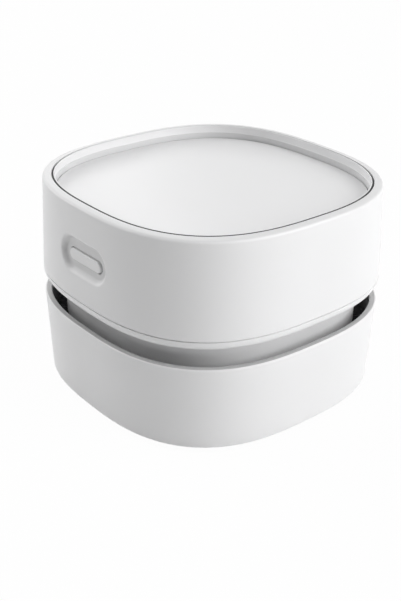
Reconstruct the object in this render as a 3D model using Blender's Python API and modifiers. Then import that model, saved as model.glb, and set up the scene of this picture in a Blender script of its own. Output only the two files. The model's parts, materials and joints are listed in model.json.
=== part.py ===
"""Desktop mini vacuum cleaner: a square-round cup with a lift-off motor head on top of it.

Frame: metres, +Z up, origin on the desk under the middle of the object. The power button faces -Y.
Air path: suction nozzle, dust cup, filter, fan, slots in the neck, black exhaust ring, open gap all round.
"""
import math

import bmesh
import bpy

MM = 0.001

# Overall form. Half widths are measured from the middle to the middle of a side.
SQUIRCLE_POWER = 2.73
ROUND_POWER = 2.0
SLOT_POWER = 4.0
OUTLINE_POINTS = 36
HEAD_WIDEST_HALF = 41.7 * MM
HEAD_TAPER = 1.04 * MM
BASE_RIM_INSET = 0.1 * MM
BASE_TAPER = 1.0 * MM
HEAD_TOP_HALF = HEAD_WIDEST_HALF - HEAD_TAPER
BASE_RIM_HALF = HEAD_WIDEST_HALF - BASE_RIM_INSET
BASE_FOOT_HALF = BASE_RIM_HALF - BASE_TAPER
HEIGHT = 57.5 * MM
SEAM_SHARE = 0.5548
UNDERSIDE_SHARE = 0.5165
BASE_RIM_SHARE = 0.4243
HEAD_SEAM_Z = HEIGHT * SEAM_SHARE
HEAD_UNDERSIDE_Z = HEIGHT * UNDERSIDE_SHARE
BASE_RIM_Z = HEIGHT * BASE_RIM_SHARE
BASE_FOOT_Z = 1.2 * MM

# Clearances between pieces that are fitted to each other.
FIT_GAP = 0.3 * MM
LINE_GAP = 0.12 * MM
CUT_OVERRUN = 1.0 * MM
JOIN_DEPTH = 0.4 * MM

# Base shell
BASE_WALL = 1.3 * MM
BASE_FOOT_FILLET = 1.0 * MM
BASE_RIM_ROUND = 0.35 * MM
GRILLE_LEDGE = 1.3 * MM
GRILLE_LEDGE_THICKNESS = 1.0 * MM
BASE_FLANGE_THICKNESS = 1.5 * MM

# Bottom plate with its dust cup and suction nozzle
PLATE_UNDERSIDE_Z = 3.0 * MM
PLATE_THICKNESS = 2.2 * MM
CUP_WALL = 1.2 * MM
CUP_WALL_INSET = 0.4 * MM
CUP_RIM_DROP = 11.8 * MM
NOZZLE_HALF_LENGTH = 11.0 * MM
NOZZLE_HALF_WIDTH = 5.5 * MM
NOZZLE_WALL = 1.2 * MM
NOZZLE_HEIGHT_SHARE = 0.58
NOZZLE_FLARE = 1.4 * MM

# Neck, the part of the head that plugs into the base
AIR_GAP_WIDTH = 4.3 * MM
NECK_TAPER = 0.8 * MM
NECK_TOP_HALF = BASE_RIM_HALF - BASE_WALL - AIR_GAP_WIDTH
NECK_BOTTOM_HALF = NECK_TOP_HALF - NECK_TAPER
CUP_WALL_HALF = NECK_BOTTOM_HALF - CUP_WALL_INSET
NECK_WALL = 1.4 * MM
NECK_FLANGE = 1.4 * MM
NECK_FLANGE_THICKNESS = 1.4 * MM
FAN_CEILING_DROP = 3.7 * MM
FAN_CEILING_Z = HEAD_UNDERSIDE_Z - FAN_CEILING_DROP
FAN_CEILING_THICKNESS = 1.6 * MM
SHAFT_OPENING_RADIUS = 4.0 * MM
OUTLET_HEIGHT = 2.2 * MM
OUTLET_LENGTH = 9.0 * MM
OUTLET_PITCH = 12.0 * MM
OUTLET_PLACE_SHARES = (-1.0, 0.0, 1.0)

# Seal, exhaust ring
SEAL_THICKNESS = 0.8 * MM
SEAL_WIDTH = 0.9 * MM
GRILLE_THICKNESS = 1.0 * MM
GRILLE_DEPTH = 3.7 * MM
GRILLE_EDGE = 0.8 * MM
GRILLE_SLOTS = 30

# Head shell
HEAD_WALL = 1.8 * MM
HEAD_RIM_FILLET = 1.4 * MM
RIM_WIDTH = 2.26 * MM
RIM_INNER_HALF = HEAD_TOP_HALF - RIM_WIDTH
PANEL_SHELF_WIDTH = 3.3 * MM
PANEL_SHELF_THICKNESS = 1.3 * MM

# Top panel, the bezel that frames it and the dark seal round the bezel
PANEL_RECESS = 3.7 * MM
PANEL_THICKNESS = 1.0 * MM
RIM_SEAL_WIDTH = 0.4 * MM
RIM_SEAL_HEIGHT = 1.6 * MM
BEZEL_LEAN = 0.45 * MM
BEZEL_UPPER_BAND = 2.0 * MM
BEZEL_STEP = 0.1 * MM
BEZEL_LIP = 2.2 * MM
BEZEL_LIP_THICKNESS = 1.1 * MM

# Lower cover of the head
COVER_FLOOR = 2.4 * MM
COVER_EDGE_INSET = 1.1 * MM
COVER_EDGE_HALF = HEAD_WIDEST_HALF - COVER_EDGE_INSET
COVER_LAP_WIDTH = 1.4 * MM
COVER_LAP_HEIGHT = 1.7 * MM

# Screws and the bosses that take them
SCREW_RADIUS = 0.9 * MM
SCREW_HEAD_RADIUS = 1.6 * MM
SCREW_HEAD_HEIGHT = 0.8 * MM
SCREW_HEADROOM = 2.6 * MM
SCREW_RECESS = 1.3 * MM
BOSS_WALL = 0.9 * MM
BASE_SCREW_INSET = 2.8 * MM
COVER_SCREW_INSET = 2.87 * MM

# Feet and brushes under the bottom plate
FOOT_RADIUS = 3.5 * MM
FOOT_TAPER = 0.4 * MM
FOOT_FROM_SCREW = 5.57 * MM
SOCKET_DEPTH = 1.0 * MM
BRUSH_THICKNESS = 1.6 * MM
BRUSH_BACKING = 1.0 * MM
BRUSH_DESK_GAP = 0.3 * MM
TUFT_PITCH = 2.0 * MM
TUFT_ROOT = 1.4 * MM
TUFT_TIP = 0.9 * MM
LONG_BRUSH_TUFT_COUNT = 16
SHORT_BRUSH_TUFT_COUNT = 7
LONG_BRUSH_Y = 11.8 * MM
SHORT_BRUSH_X = 19.0 * MM

# Filter
FILTER_CLEARANCE = 0.5 * MM
FILTER_HALF = NECK_BOTTOM_HALF - NECK_WALL - FILTER_CLEARANCE
FILTER_FRAME_WIDTH = 3.0 * MM
FILTER_FRAME_HEIGHT = 2.4 * MM
FILTER_DROP = 0.8 * MM
FILTER_SEAT = 1.2 * MM
FILTER_SEAT_WIDTH = 2.0 * MM
FILTER_PAD_THICKNESS = 0.6 * MM

# Fan and motor
INTAKE_THICKNESS = 1.1 * MM
INTAKE_RADIUS = 11.0 * MM
INTAKE_LIP = 1.0 * MM
INTAKE_LIP_HEIGHT = 0.7 * MM
FAN_EDGE_CLEARANCE = 9.0 * MM
FAN_RADIUS = NECK_BOTTOM_HALF - NECK_WALL - FAN_EDGE_CLEARANCE
FAN_DISC = 1.0 * MM
FAN_TOP_CLEARANCE = 1.0 * MM
FAN_BLADES = 9
FAN_BLADE_THICKNESS = 1.0 * MM
FAN_BLADE_ROOT = 9.0 * MM
FAN_BLADE_SWEEP = math.radians(52.0)
FAN_HUB_RADIUS = 3.4 * MM
FAN_HUB_DROP = 4.6 * MM
SHAFT_RADIUS = 1.0 * MM
MOTOR_SHARE = 0.288
MOTOR_RADIUS = HEAD_WIDEST_HALF * MOTOR_SHARE
MOTOR_HEADROOM = 2.4 * MM
MOTOR_EDGE = 0.8 * MM
MOTOR_BOSS_RADIUS = 3.2 * MM
MOTOR_BOSS_HEIGHT = 1.0 * MM
MOTOR_SHAFT_POCKET = 4.0 * MM
DAMPER_THICKNESS = 1.0 * MM
DAMPER_BORE = 5.0 * MM
END_CAP_THICKNESS = 1.4 * MM
END_CAP_HUB_RADIUS = 3.0 * MM
END_CAP_HUB_HEIGHT = 0.7 * MM

# Battery and its cradle
CELL_HEADROOM = 3.5 * MM
CELL_LENGTH_SHARE = 1.143
CELL_LENGTH = HEAD_WIDEST_HALF * CELL_LENGTH_SHARE
CELL_BUTTON_RADIUS = 2.6 * MM
CELL_BUTTON_HEIGHT = 0.8 * MM
CELL_EDGE = 0.6 * MM
CRADLE_WALL = 1.2 * MM
CRADLE_INSET = 7.0 * MM
CRADLE_LENGTH = CELL_LENGTH - 2.0 * CRADLE_INSET
CRADLE_GAP = 0.6 * MM
CRADLE_HALF_ANGLE = math.radians(68.0)
CRADLE_LEG_INSET = 2.4 * MM

# Power button, its dished recess and the switch behind it
BUTTON_DROP = 13.6 * MM
BUTTON_Z = HEIGHT - BUTTON_DROP
BUTTON_LENGTH = 14.6 * MM
BUTTON_HEIGHT = 4.0 * MM
BUTTON_FACE_DEPTH = 0.2 * MM
BUTTON_EDGE = 0.25 * MM
BUTTON_FLANGE = 1.1 * MM
BUTTON_FLANGE_THICKNESS = 1.0 * MM
BUTTON_TRAVEL = 0.8 * MM
DISH_LENGTH = 19.6 * MM
DISH_HEIGHT = 10.0 * MM
DISH_DEPTH = 1.0 * MM
DISH_WALL = 1.6 * MM
STEM_RADIUS = 1.5 * MM
STEM_LENGTH = 1.7 * MM
PLUNGER_LENGTH = 2.2 * MM
PLUNGER_EXPOSED = 1.2 * MM
SWITCH_SIZE = 6.0 * MM
SWITCH_DEPTH = 3.5 * MM
BOARD_THICKNESS = 1.6 * MM
MAIN_BOARD_LENGTH = 29.0 * MM
MAIN_BOARD_HEIGHT = 11.0 * MM
BOARD_POST_X = 12.0 * MM
BOARD_POST_RADIUS = 1.8 * MM

# Charging socket and its board, at the back
SOCKET_WIDTH = 9.0 * MM
SOCKET_HEIGHT = 3.2 * MM
SOCKET_LENGTH = 7.4 * MM
SOCKET_WALL = 0.4 * MM
SOCKET_TONGUE_WIDTH = 6.4 * MM
SOCKET_TONGUE = 0.7 * MM
SOCKET_INSET = 0.5 * MM
CHARGE_BOARD_WIDTH = 18.0 * MM
CHARGE_BOARD_LENGTH = 14.0 * MM
LUG_WIDTH = 3.0 * MM
LUG_LENGTH = 7.0 * MM
LUG_THICKNESS = 1.3 * MM
LUG_X = 6.5 * MM


def clear_scene():
    for item in list(bpy.data.objects):
        bpy.data.objects.remove(item)


clear_scene()
PARTS = bpy.data.collections.new("desktop_mini_vacuum_cleaner")
CUTTERS = bpy.data.collections.new("cutters")
for group in (PARTS, CUTTERS):
    bpy.context.scene.collection.children.link(group)


def finish_material(name, colour, roughness, metallic=0.0):
    material = bpy.data.materials.new(name)
    material.use_nodes = True
    shader = material.node_tree.nodes["Principled BSDF"]
    shader.inputs["Base Color"].default_value = (*colour, 1.0)
    shader.inputs["Roughness"].default_value = roughness
    shader.inputs["Metallic"].default_value = metallic
    material.diffuse_color = (*colour, 1.0)
    return material


def place(name, mesh, material, group=None, location=(0.0, 0.0, 0.0), rotation=(0.0, 0.0, 0.0)):
    item = bpy.data.objects.new(name, mesh)
    item.location = location
    item.rotation_euler = rotation
    (group or PARTS).objects.link(item)
    if material:
        mesh.materials.append(material)
    mesh.shade_smooth()
    mesh.set_sharp_from_angle(angle=math.radians(35.0))
    return item


def squircle(half_x, z, half_y=None, power=SQUIRCLE_POWER):
    """One closed outline at height z: a circle at power 2, squarer above it."""
    half_y = half_x if half_y is None else half_y
    points = []
    for step in range(OUTLINE_POINTS):
        angle = math.tau * step / OUTLINE_POINTS
        across, along = math.cos(angle), math.sin(angle)
        reach = (abs(across / half_x) ** power + abs(along / half_y) ** power) ** (-1.0 / power)
        points.append((reach * across, reach * along, z))
    return points


def pill(length, height, y, centre_z, arc_steps=8):
    """One closed outline with round ends, standing in the XZ plane at y."""
    radius = height / 2.0
    reach = length / 2.0 - radius
    points = []
    for step in range(2 * arc_steps + 2):
        side = 1.0 if step <= arc_steps else -1.0
        turn = math.pi * (step - (step > arc_steps)) / arc_steps - math.pi / 2.0
        points.append((side * reach + radius * math.cos(turn), y, centre_z + radius * math.sin(turn)))
    return points


def skin(rings, ring_shaped):
    """Mesh through a row of outlines: a ring when the row closes on itself, else capped at both ends."""
    build = bmesh.new()
    rows = [[build.verts.new(point) for point in ring] for ring in rings]
    pairs = list(zip(rows, rows[1:]))
    if ring_shaped:
        pairs.append((rows[-1], rows[0]))
    else:
        build.faces.new(rows[0])
        build.faces.new(rows[-1])
    for lower, upper in pairs:
        for index in range(len(lower)):
            after = (index + 1) % len(lower)
            build.faces.new((lower[index], lower[after], upper[after], upper[index]))
    bmesh.ops.recalc_face_normals(build, faces=build.faces[:])
    return build


def to_mesh(name, build):
    mesh = bpy.data.meshes.new(name)
    build.to_mesh(mesh)
    build.free()
    return mesh


def loft(name, rings, material, ring_shaped=True, group=None):
    return place(name, to_mesh(name, skin(rings, ring_shaped)), material, group)


def turned(name, profile, material, closed, steps=24, group=None, location=(0.0, 0.0, 0.0), rotation=(0.0, 0.0, 0.0)):
    """A profile of (radius, height) points, outer side running down, swept round its own Z axis."""
    mesh = bpy.data.meshes.new(name)
    edges = [(index, index + 1) for index in range(len(profile) - 1)]
    if closed:
        edges.append((len(profile) - 1, 0))
    mesh.from_pydata([(radius, 0.0, height) for radius, height in profile], edges, [])
    item = place(name, mesh, material, group, location, rotation)
    screw = item.modifiers.new("sweep", "SCREW")
    screw.axis = "Z"
    screw.steps = steps
    screw.render_steps = steps
    screw.use_merge_vertices = True
    screw.merge_threshold = 0.00002
    screw.use_smooth_shade = True
    return item


def block(name, size, centre, material, group=None, edge=0.0):
    """A box with its edges broken by a small bevel where edge is given."""
    build = bmesh.new()
    bmesh.ops.create_cube(build, size=1.0)
    bmesh.ops.scale(build, vec=size, verts=build.verts[:])
    bmesh.ops.translate(build, vec=centre, verts=build.verts[:])
    item = place(name, to_mesh(name, build), material, group)
    if edge:
        bevel = item.modifiers.new("edge", "BEVEL")
        bevel.width = edge
        bevel.segments = 2
    return item


def rod(build, radius, start, end, sides=12):
    """Adds a closed cylinder from start to end, which lie on a line along one axis, to a mesh being built."""
    length = sum(abs(b - a) for a, b in zip(start, end))
    made = bmesh.ops.create_cone(
        build, cap_ends=True, segments=sides, radius1=radius, radius2=radius, depth=length)
    verts = made["verts"]
    axis = max(range(3), key=lambda index: abs(end[index] - start[index]))
    if axis < 2:
        swap = {0: (2, 1, 0), 1: (0, 2, 1)}[axis]
        for vert in verts:
            vert.co = [vert.co[index] for index in swap]
    middle = [(a + b) / 2.0 for a, b in zip(start, end)]
    bmesh.ops.translate(build, vec=middle, verts=verts)


def box(build, low, high):
    """Adds a closed box between two corners to a mesh being built."""
    made = bmesh.ops.create_cube(build, size=1.0)
    bmesh.ops.scale(build, vec=[b - a for a, b in zip(low, high)], verts=made["verts"])
    bmesh.ops.translate(build, vec=[(a + b) / 2.0 for a, b in zip(low, high)], verts=made["verts"])


def helper(name, build):
    """A hidden shape that joins or cuts another piece."""
    bmesh.ops.recalc_face_normals(build, faces=build.faces[:])
    item = place(name, to_mesh(name, build), None, CUTTERS)
    item.hide_render = True
    item.display_type = "WIRE"
    return item


def combine(item, other, operation):
    change = item.modifiers.new(other.name, "BOOLEAN")
    change.operation = operation
    change.solver = "EXACT"
    change.object = other
    return change


def corners(diagonal):
    """The four places on the diagonals, a given distance from the middle."""
    reach = diagonal / math.sqrt(2.0)
    return [(reach, reach), (-reach, reach), (-reach, -reach), (reach, -reach)]


def between(low, high, share):
    return low + (high - low) * share


# Finishes
WHITE_SHELL = finish_material("white_shell", (0.86, 0.86, 0.87), 0.38)
PANEL_FINISH = finish_material("gloss_panel", (0.78, 0.79, 0.80), 0.12)
NECK_FINISH = finish_material("grey_white_neck", (0.74, 0.74, 0.75), 0.42)
BLACK_GRILLE = finish_material("black_grille", (0.02, 0.02, 0.022), 0.6)
DARK_SEAL = finish_material("dark_rubber", (0.03, 0.03, 0.032), 0.7)
BRUSH_FINISH = finish_material("brush_nylon", (0.10, 0.10, 0.11), 0.6)
STEEL = finish_material("steel", (0.6, 0.6, 0.62), 0.3, 1.0)
FAN_FINISH = finish_material("fan_plastic", (0.16, 0.16, 0.17), 0.45)
BOARD_FINISH = finish_material("circuit_board", (0.03, 0.20, 0.09), 0.5)
CELL_FINISH = finish_material("battery_sleeve", (0.05, 0.22, 0.55), 0.4)
FILTER_CLOTH = finish_material("filter_cloth", (0.80, 0.80, 0.78), 0.9)


# Sizes that follow from the driving dimensions
def base_outer(z):
    return between(BASE_FOOT_HALF, BASE_RIM_HALF, (z - BASE_FOOT_Z) / (BASE_RIM_Z - BASE_FOOT_Z))


def base_inner(z):
    return base_outer(z) - BASE_WALL


def head_outer(z):
    return between(HEAD_WIDEST_HALF, HEAD_TOP_HALF, (z - HEAD_SEAM_Z) / (HEIGHT - HEAD_SEAM_Z))


def head_inner(z):
    return head_outer(z) - HEAD_WALL


PLATE_TOP_Z = PLATE_UNDERSIDE_Z + PLATE_THICKNESS
CUP_TOP_Z = BASE_RIM_Z - CUP_RIM_DROP
NOZZLE_TOP_Z = between(PLATE_TOP_Z, CUP_TOP_Z, NOZZLE_HEIGHT_SHARE)
SCREW_LENGTH = CUP_TOP_Z - PLATE_UNDERSIDE_Z - SCREW_HEADROOM
CORNER_REACH = math.sqrt(2.0) * 0.5 ** (1.0 / SQUIRCLE_POWER)
BASE_SCREW_DIAGONAL = base_inner(PLATE_UNDERSIDE_Z) * CORNER_REACH - BASE_SCREW_INSET
COVER_SCREW_DIAGONAL = COVER_EDGE_HALF * CORNER_REACH - COVER_SCREW_INSET
FOOT_PLACE = BASE_SCREW_DIAGONAL / math.sqrt(2.0) - FOOT_FROM_SCREW
PANEL_UNDERSIDE_Z = HEIGHT - PANEL_RECESS - PANEL_THICKNESS
SEAL_Z = CUP_TOP_Z + FIT_GAP
NECK_BOTTOM_Z = SEAL_Z + SEAL_THICKNESS + FIT_GAP
GRILLE_TOP_Z = BASE_RIM_Z - GRILLE_DEPTH
GRILLE_Z = GRILLE_TOP_Z - GRILLE_THICKNESS
LEDGE_TOP_Z = GRILLE_Z - FIT_GAP
FLANGE_Z = PLATE_TOP_Z + FIT_GAP
FLANGE_TOP_Z = FLANGE_Z + BASE_FLANGE_THICKNESS
COVER_TOP_Z = HEAD_UNDERSIDE_Z + COVER_FLOOR
NECK_FLANGE_Z = COVER_TOP_Z + FIT_GAP
NECK_TOP_Z = NECK_FLANGE_Z + NECK_FLANGE_THICKNESS
FAN_CEILING_TOP_Z = FAN_CEILING_Z + FAN_CEILING_THICKNESS
LUG_TOP_Z = COVER_TOP_Z + COVER_LAP_HEIGHT + FIT_GAP + LUG_THICKNESS
CHARGE_BOARD_Z = LUG_TOP_Z + FIT_GAP
SOCKET_Z = CHARGE_BOARD_Z + BOARD_THICKNESS + FIT_GAP + SOCKET_HEIGHT / 2.0
CELL_BED_Z = NECK_TOP_Z + CRADLE_WALL + FIT_GAP
CELL_RADIUS = (PANEL_UNDERSIDE_Z - CELL_HEADROOM - CELL_BED_Z) / 2.0
CELL_PLACE_X = -(MOTOR_RADIUS + CRADLE_GAP + CRADLE_WALL + FIT_GAP + CELL_RADIUS)


def neck_outer(z):
    return between(NECK_BOTTOM_HALF, NECK_TOP_HALF, (z - NECK_BOTTOM_Z) / (NECK_FLANGE_Z - NECK_BOTTOM_Z))


def neck_inner(z):
    return neck_outer(z) - NECK_WALL


def add_screw(name, diagonal_place, under_z):
    """A pan-head screw driven upwards: its head starts just inside the recess mouth at under_z."""
    head_z = under_z + SCREW_RECESS - SCREW_HEAD_HEIGHT - FIT_GAP
    seat_z = head_z + SCREW_HEAD_HEIGHT
    rounding = SCREW_HEAD_HEIGHT / 3.0
    tip = seat_z + SCREW_LENGTH
    profile = [
        (0.0, tip),
        (SCREW_RADIUS / 2.0, tip - SCREW_RADIUS / 2.0),
        (SCREW_RADIUS, tip - SCREW_RADIUS),
        (SCREW_RADIUS, seat_z),
        (SCREW_HEAD_RADIUS, seat_z),
        (SCREW_HEAD_RADIUS, head_z + rounding),
        (SCREW_HEAD_RADIUS - rounding, head_z),
        (0.0, head_z),
    ]
    x, y = diagonal_place
    turned(name, profile, STEEL, closed=False, steps=8, location=(x, y, 0.0))


def screw_hole(build, diagonal_place, under_z, through_z):
    """Recess for a screw head and, in one stepped shape with it, the clearance hole above."""
    x, y = diagonal_place
    recess, hole = SCREW_HEAD_RADIUS + FIT_GAP, SCREW_RADIUS + FIT_GAP
    steps = [(recess, under_z - CUT_OVERRUN), (recess, under_z + SCREW_RECESS), (hole, under_z + SCREW_RECESS),
             (hole, through_z + CUT_OVERRUN)]
    sides = 12
    rows = []
    for radius, z in steps:
        turns = [math.tau * index / sides for index in range(sides)]
        rows.append([build.verts.new((x + radius * math.cos(turn), y + radius * math.sin(turn), z)) for turn in turns])
    build.faces.new(rows[0])
    build.faces.new(rows[-1])
    for lower, upper in zip(rows, rows[1:]):
        for index in range(sides):
            after = (index + 1) % sides
            build.faces.new((lower[index], lower[after], upper[after], upper[index]))


def add_base_shell():
    """Outer wall of the base, open at both ends, with a ledge for the exhaust ring and a screw flange."""
    foot_centre_half = BASE_FOOT_HALF - BASE_FOOT_FILLET
    foot_centre_z = BASE_FOOT_Z + BASE_FOOT_FILLET
    foot_arc = []
    for share in (0.0, 1.0 / 3.0, 2.0 / 3.0, 1.0):
        turn = math.pi / 2.0 * share
        foot_arc.append((foot_centre_half + BASE_FOOT_FILLET * math.sin(turn),
                         foot_centre_z - BASE_FOOT_FILLET * math.cos(turn)))
    ledge_half = base_inner(LEDGE_TOP_Z) - GRILLE_LEDGE
    ledge_foot_z = LEDGE_TOP_Z - GRILLE_LEDGE_THICKNESS
    flange_half = CUP_WALL_HALF + FIT_GAP
    profile = foot_arc + [
        (base_outer(BASE_RIM_Z), BASE_RIM_Z - BASE_RIM_ROUND),
        (base_outer(BASE_RIM_Z) - BASE_RIM_ROUND, BASE_RIM_Z),
        (base_inner(BASE_RIM_Z) + BASE_RIM_ROUND, BASE_RIM_Z),
        (base_inner(BASE_RIM_Z), BASE_RIM_Z - BASE_RIM_ROUND),
        (base_inner(LEDGE_TOP_Z), LEDGE_TOP_Z),
        (ledge_half, LEDGE_TOP_Z),
        (ledge_half, ledge_foot_z),
        (base_inner(ledge_foot_z - GRILLE_LEDGE), ledge_foot_z - GRILLE_LEDGE),
        (base_inner(FLANGE_TOP_Z), FLANGE_TOP_Z),
        (flange_half, FLANGE_TOP_Z),
        (flange_half, FLANGE_Z),
        (base_inner(FLANGE_Z), FLANGE_Z),
        (base_inner(BASE_FOOT_Z), BASE_FOOT_Z),
    ]
    shell = loft("base_shell", [squircle(half, z) for half, z in profile], WHITE_SHELL)
    bosses = bmesh.new()
    pilots = bmesh.new()
    tip_z = PLATE_UNDERSIDE_Z + SCREW_RECESS - FIT_GAP + SCREW_LENGTH
    for x, y in corners(BASE_SCREW_DIAGONAL):
        top = tip_z + FIT_GAP + BOSS_WALL
        rod(bosses, SCREW_RADIUS + FIT_GAP + BOSS_WALL, (x, y, FLANGE_TOP_Z - JOIN_DEPTH), (x, y, top))
        rod(pilots, SCREW_RADIUS + FIT_GAP, (x, y, FLANGE_Z - CUT_OVERRUN), (x, y, tip_z + FIT_GAP))
    combine(shell, helper("base_bosses", bosses), "UNION")
    combine(shell, helper("base_pilot_holes", pilots), "DIFFERENCE")


def add_bottom_plate():
    """Plate that closes the base: dust cup wall above, suction nozzle in the middle, sockets below."""
    cup_inner = CUP_WALL_HALF - CUP_WALL
    plate_half = base_inner(PLATE_UNDERSIDE_Z) - FIT_GAP
    length, width = NOZZLE_HALF_LENGTH, NOZZLE_HALF_WIDTH

    def nozzle(extra, z):
        return squircle(length + extra, z, width + extra, SLOT_POWER)

    rings = [
        squircle(plate_half, PLATE_UNDERSIDE_Z),
        squircle(plate_half, PLATE_TOP_Z),
        squircle(CUP_WALL_HALF, PLATE_TOP_Z),
        squircle(CUP_WALL_HALF, CUP_TOP_Z),
        squircle(cup_inner, CUP_TOP_Z),
        squircle(cup_inner, PLATE_TOP_Z),
        nozzle(NOZZLE_WALL + FIT_GAP, PLATE_TOP_Z),
        nozzle(NOZZLE_WALL, NOZZLE_TOP_Z),
        nozzle(0.0, NOZZLE_TOP_Z),
        nozzle(0.0, PLATE_TOP_Z),
        nozzle(NOZZLE_FLARE, PLATE_UNDERSIDE_Z),
    ]
    plate = loft("bottom_plate", rings, WHITE_SHELL)
    cuts = bmesh.new()
    for spot in corners(BASE_SCREW_DIAGONAL):
        screw_hole(cuts, spot, PLATE_UNDERSIDE_Z, PLATE_TOP_Z)
    socket_top = PLATE_UNDERSIDE_Z + SOCKET_DEPTH
    socket_mouth = PLATE_UNDERSIDE_Z - CUT_OVERRUN
    for side_x, side_y in ((1, 1), (-1, 1), (-1, -1), (1, -1)):
        x, y = side_x * FOOT_PLACE, side_y * FOOT_PLACE
        rod(cuts, FOOT_RADIUS + FIT_GAP, (x, y, socket_mouth), (x, y, socket_top), sides=16)
    reach = BRUSH_THICKNESS / 2.0 + FIT_GAP
    long_half = brush_half_length(LONG_BRUSH_TUFT_COUNT) + FIT_GAP
    short_half = brush_half_length(SHORT_BRUSH_TUFT_COUNT) + FIT_GAP
    for side in (1, -1):
        y = side * LONG_BRUSH_Y
        box(cuts, (-long_half, y - reach, socket_mouth), (long_half, y + reach, socket_top))
        x = side * SHORT_BRUSH_X
        box(cuts, (x - reach, -short_half, socket_mouth), (x + reach, short_half, socket_top))
    combine(plate, helper("plate_cuts", cuts), "DIFFERENCE")


def brush_half_length(tufts):
    return tufts * TUFT_PITCH / 2.0


def add_brush(name, tufts, location, turn):
    """A strip with a comb of tufts that sweep the desk, standing in a groove of the plate."""
    top = PLATE_UNDERSIDE_Z + SOCKET_DEPTH - FIT_GAP
    root = top - BRUSH_BACKING
    half = brush_half_length(tufts)
    outline = [(half, top), (-half, top), (-half, root)]
    for index in range(tufts):
        middle = -half + (index + 0.5) * TUFT_PITCH
        outline += [
            (middle - TUFT_ROOT / 2.0, root),
            (middle - TUFT_TIP / 2.0, BRUSH_DESK_GAP),
            (middle + TUFT_TIP / 2.0, BRUSH_DESK_GAP),
            (middle + TUFT_ROOT / 2.0, root),
        ]
    outline.append((half, root))
    build = bmesh.new()
    front = build.faces.new([build.verts.new((x, -BRUSH_THICKNESS / 2.0, z)) for x, z in outline])
    grown = bmesh.ops.extrude_face_region(build, geom=[front])
    moved = [item for item in grown["geom"] if isinstance(item, bmesh.types.BMVert)]
    bmesh.ops.translate(build, vec=(0.0, BRUSH_THICKNESS, 0.0), verts=moved)
    bmesh.ops.recalc_face_normals(build, faces=build.faces[:])
    place(name, to_mesh(name, build), BRUSH_FINISH, location=location, rotation=(0.0, 0.0, turn))


def add_brushes():
    quarter = math.pi / 2.0
    add_brush("brush_front", LONG_BRUSH_TUFT_COUNT, (0.0, -LONG_BRUSH_Y, 0.0), 0.0)
    add_brush("brush_back", LONG_BRUSH_TUFT_COUNT, (0.0, LONG_BRUSH_Y, 0.0), 0.0)
    add_brush("brush_left", SHORT_BRUSH_TUFT_COUNT, (-SHORT_BRUSH_X, 0.0, 0.0), quarter)
    add_brush("brush_right", SHORT_BRUSH_TUFT_COUNT, (SHORT_BRUSH_X, 0.0, 0.0), quarter)


def add_feet():
    top = PLATE_UNDERSIDE_Z + SOCKET_DEPTH - FIT_GAP
    profile = [(0.0, top), (FOOT_RADIUS, top), (FOOT_RADIUS, FOOT_TAPER), (FOOT_RADIUS - FOOT_TAPER, 0.0), (0.0, 0.0)]
    names = ("foot_back_right", "foot_back_left", "foot_front_left", "foot_front_right")
    for name, (side_x, side_y) in zip(names, ((1, 1), (-1, 1), (-1, -1), (1, -1))):
        turned(name, profile, DARK_SEAL, closed=False, steps=16,
               location=(side_x * FOOT_PLACE, side_y * FOOT_PLACE, 0.0))


def add_seal():
    """Soft ring between the dust cup and the neck."""
    outer, inner = CUP_WALL_HALF, CUP_WALL_HALF - SEAL_WIDTH
    top = SEAL_Z + SEAL_THICKNESS
    loft("cup_seal", [squircle(outer, SEAL_Z), squircle(outer, top), squircle(inner, top), squircle(inner, SEAL_Z)],
         DARK_SEAL)


def add_exhaust_ring():
    """Flat black ring with slots, which the air leaves through, seated on the ledge of the base."""
    outer = base_inner(GRILLE_Z) - FIT_GAP
    inner = neck_outer(GRILLE_TOP_Z) + FIT_GAP + FIT_GAP
    halves = (inner, inner + GRILLE_EDGE, outer - GRILLE_LEDGE, outer)
    columns = 2 * GRILLE_SLOTS
    build = bmesh.new()
    rows = []
    for half in halves:
        row = []
        for step in range(columns):
            angle = math.tau * step / columns
            across, along = math.cos(angle), math.sin(angle)
            reach = half / (abs(across) ** SQUIRCLE_POWER + abs(along) ** SQUIRCLE_POWER) ** (1.0 / SQUIRCLE_POWER)
            row.append(build.verts.new((reach * across, reach * along, GRILLE_TOP_Z)))
        rows.append(row)
    for band, (near, far) in enumerate(zip(rows, rows[1:])):
        for step in range(columns):
            if band == 1 and step % 2:
                continue
            after = (step + 1) % columns
            build.faces.new((near[step], far[step], far[after], near[after]))
    ring = place("exhaust_ring", to_mesh("exhaust_ring", build), BLACK_GRILLE)
    wall = ring.modifiers.new("thickness", "SOLIDIFY")
    wall.thickness = GRILLE_THICKNESS
    wall.offset = -1.0


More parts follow.
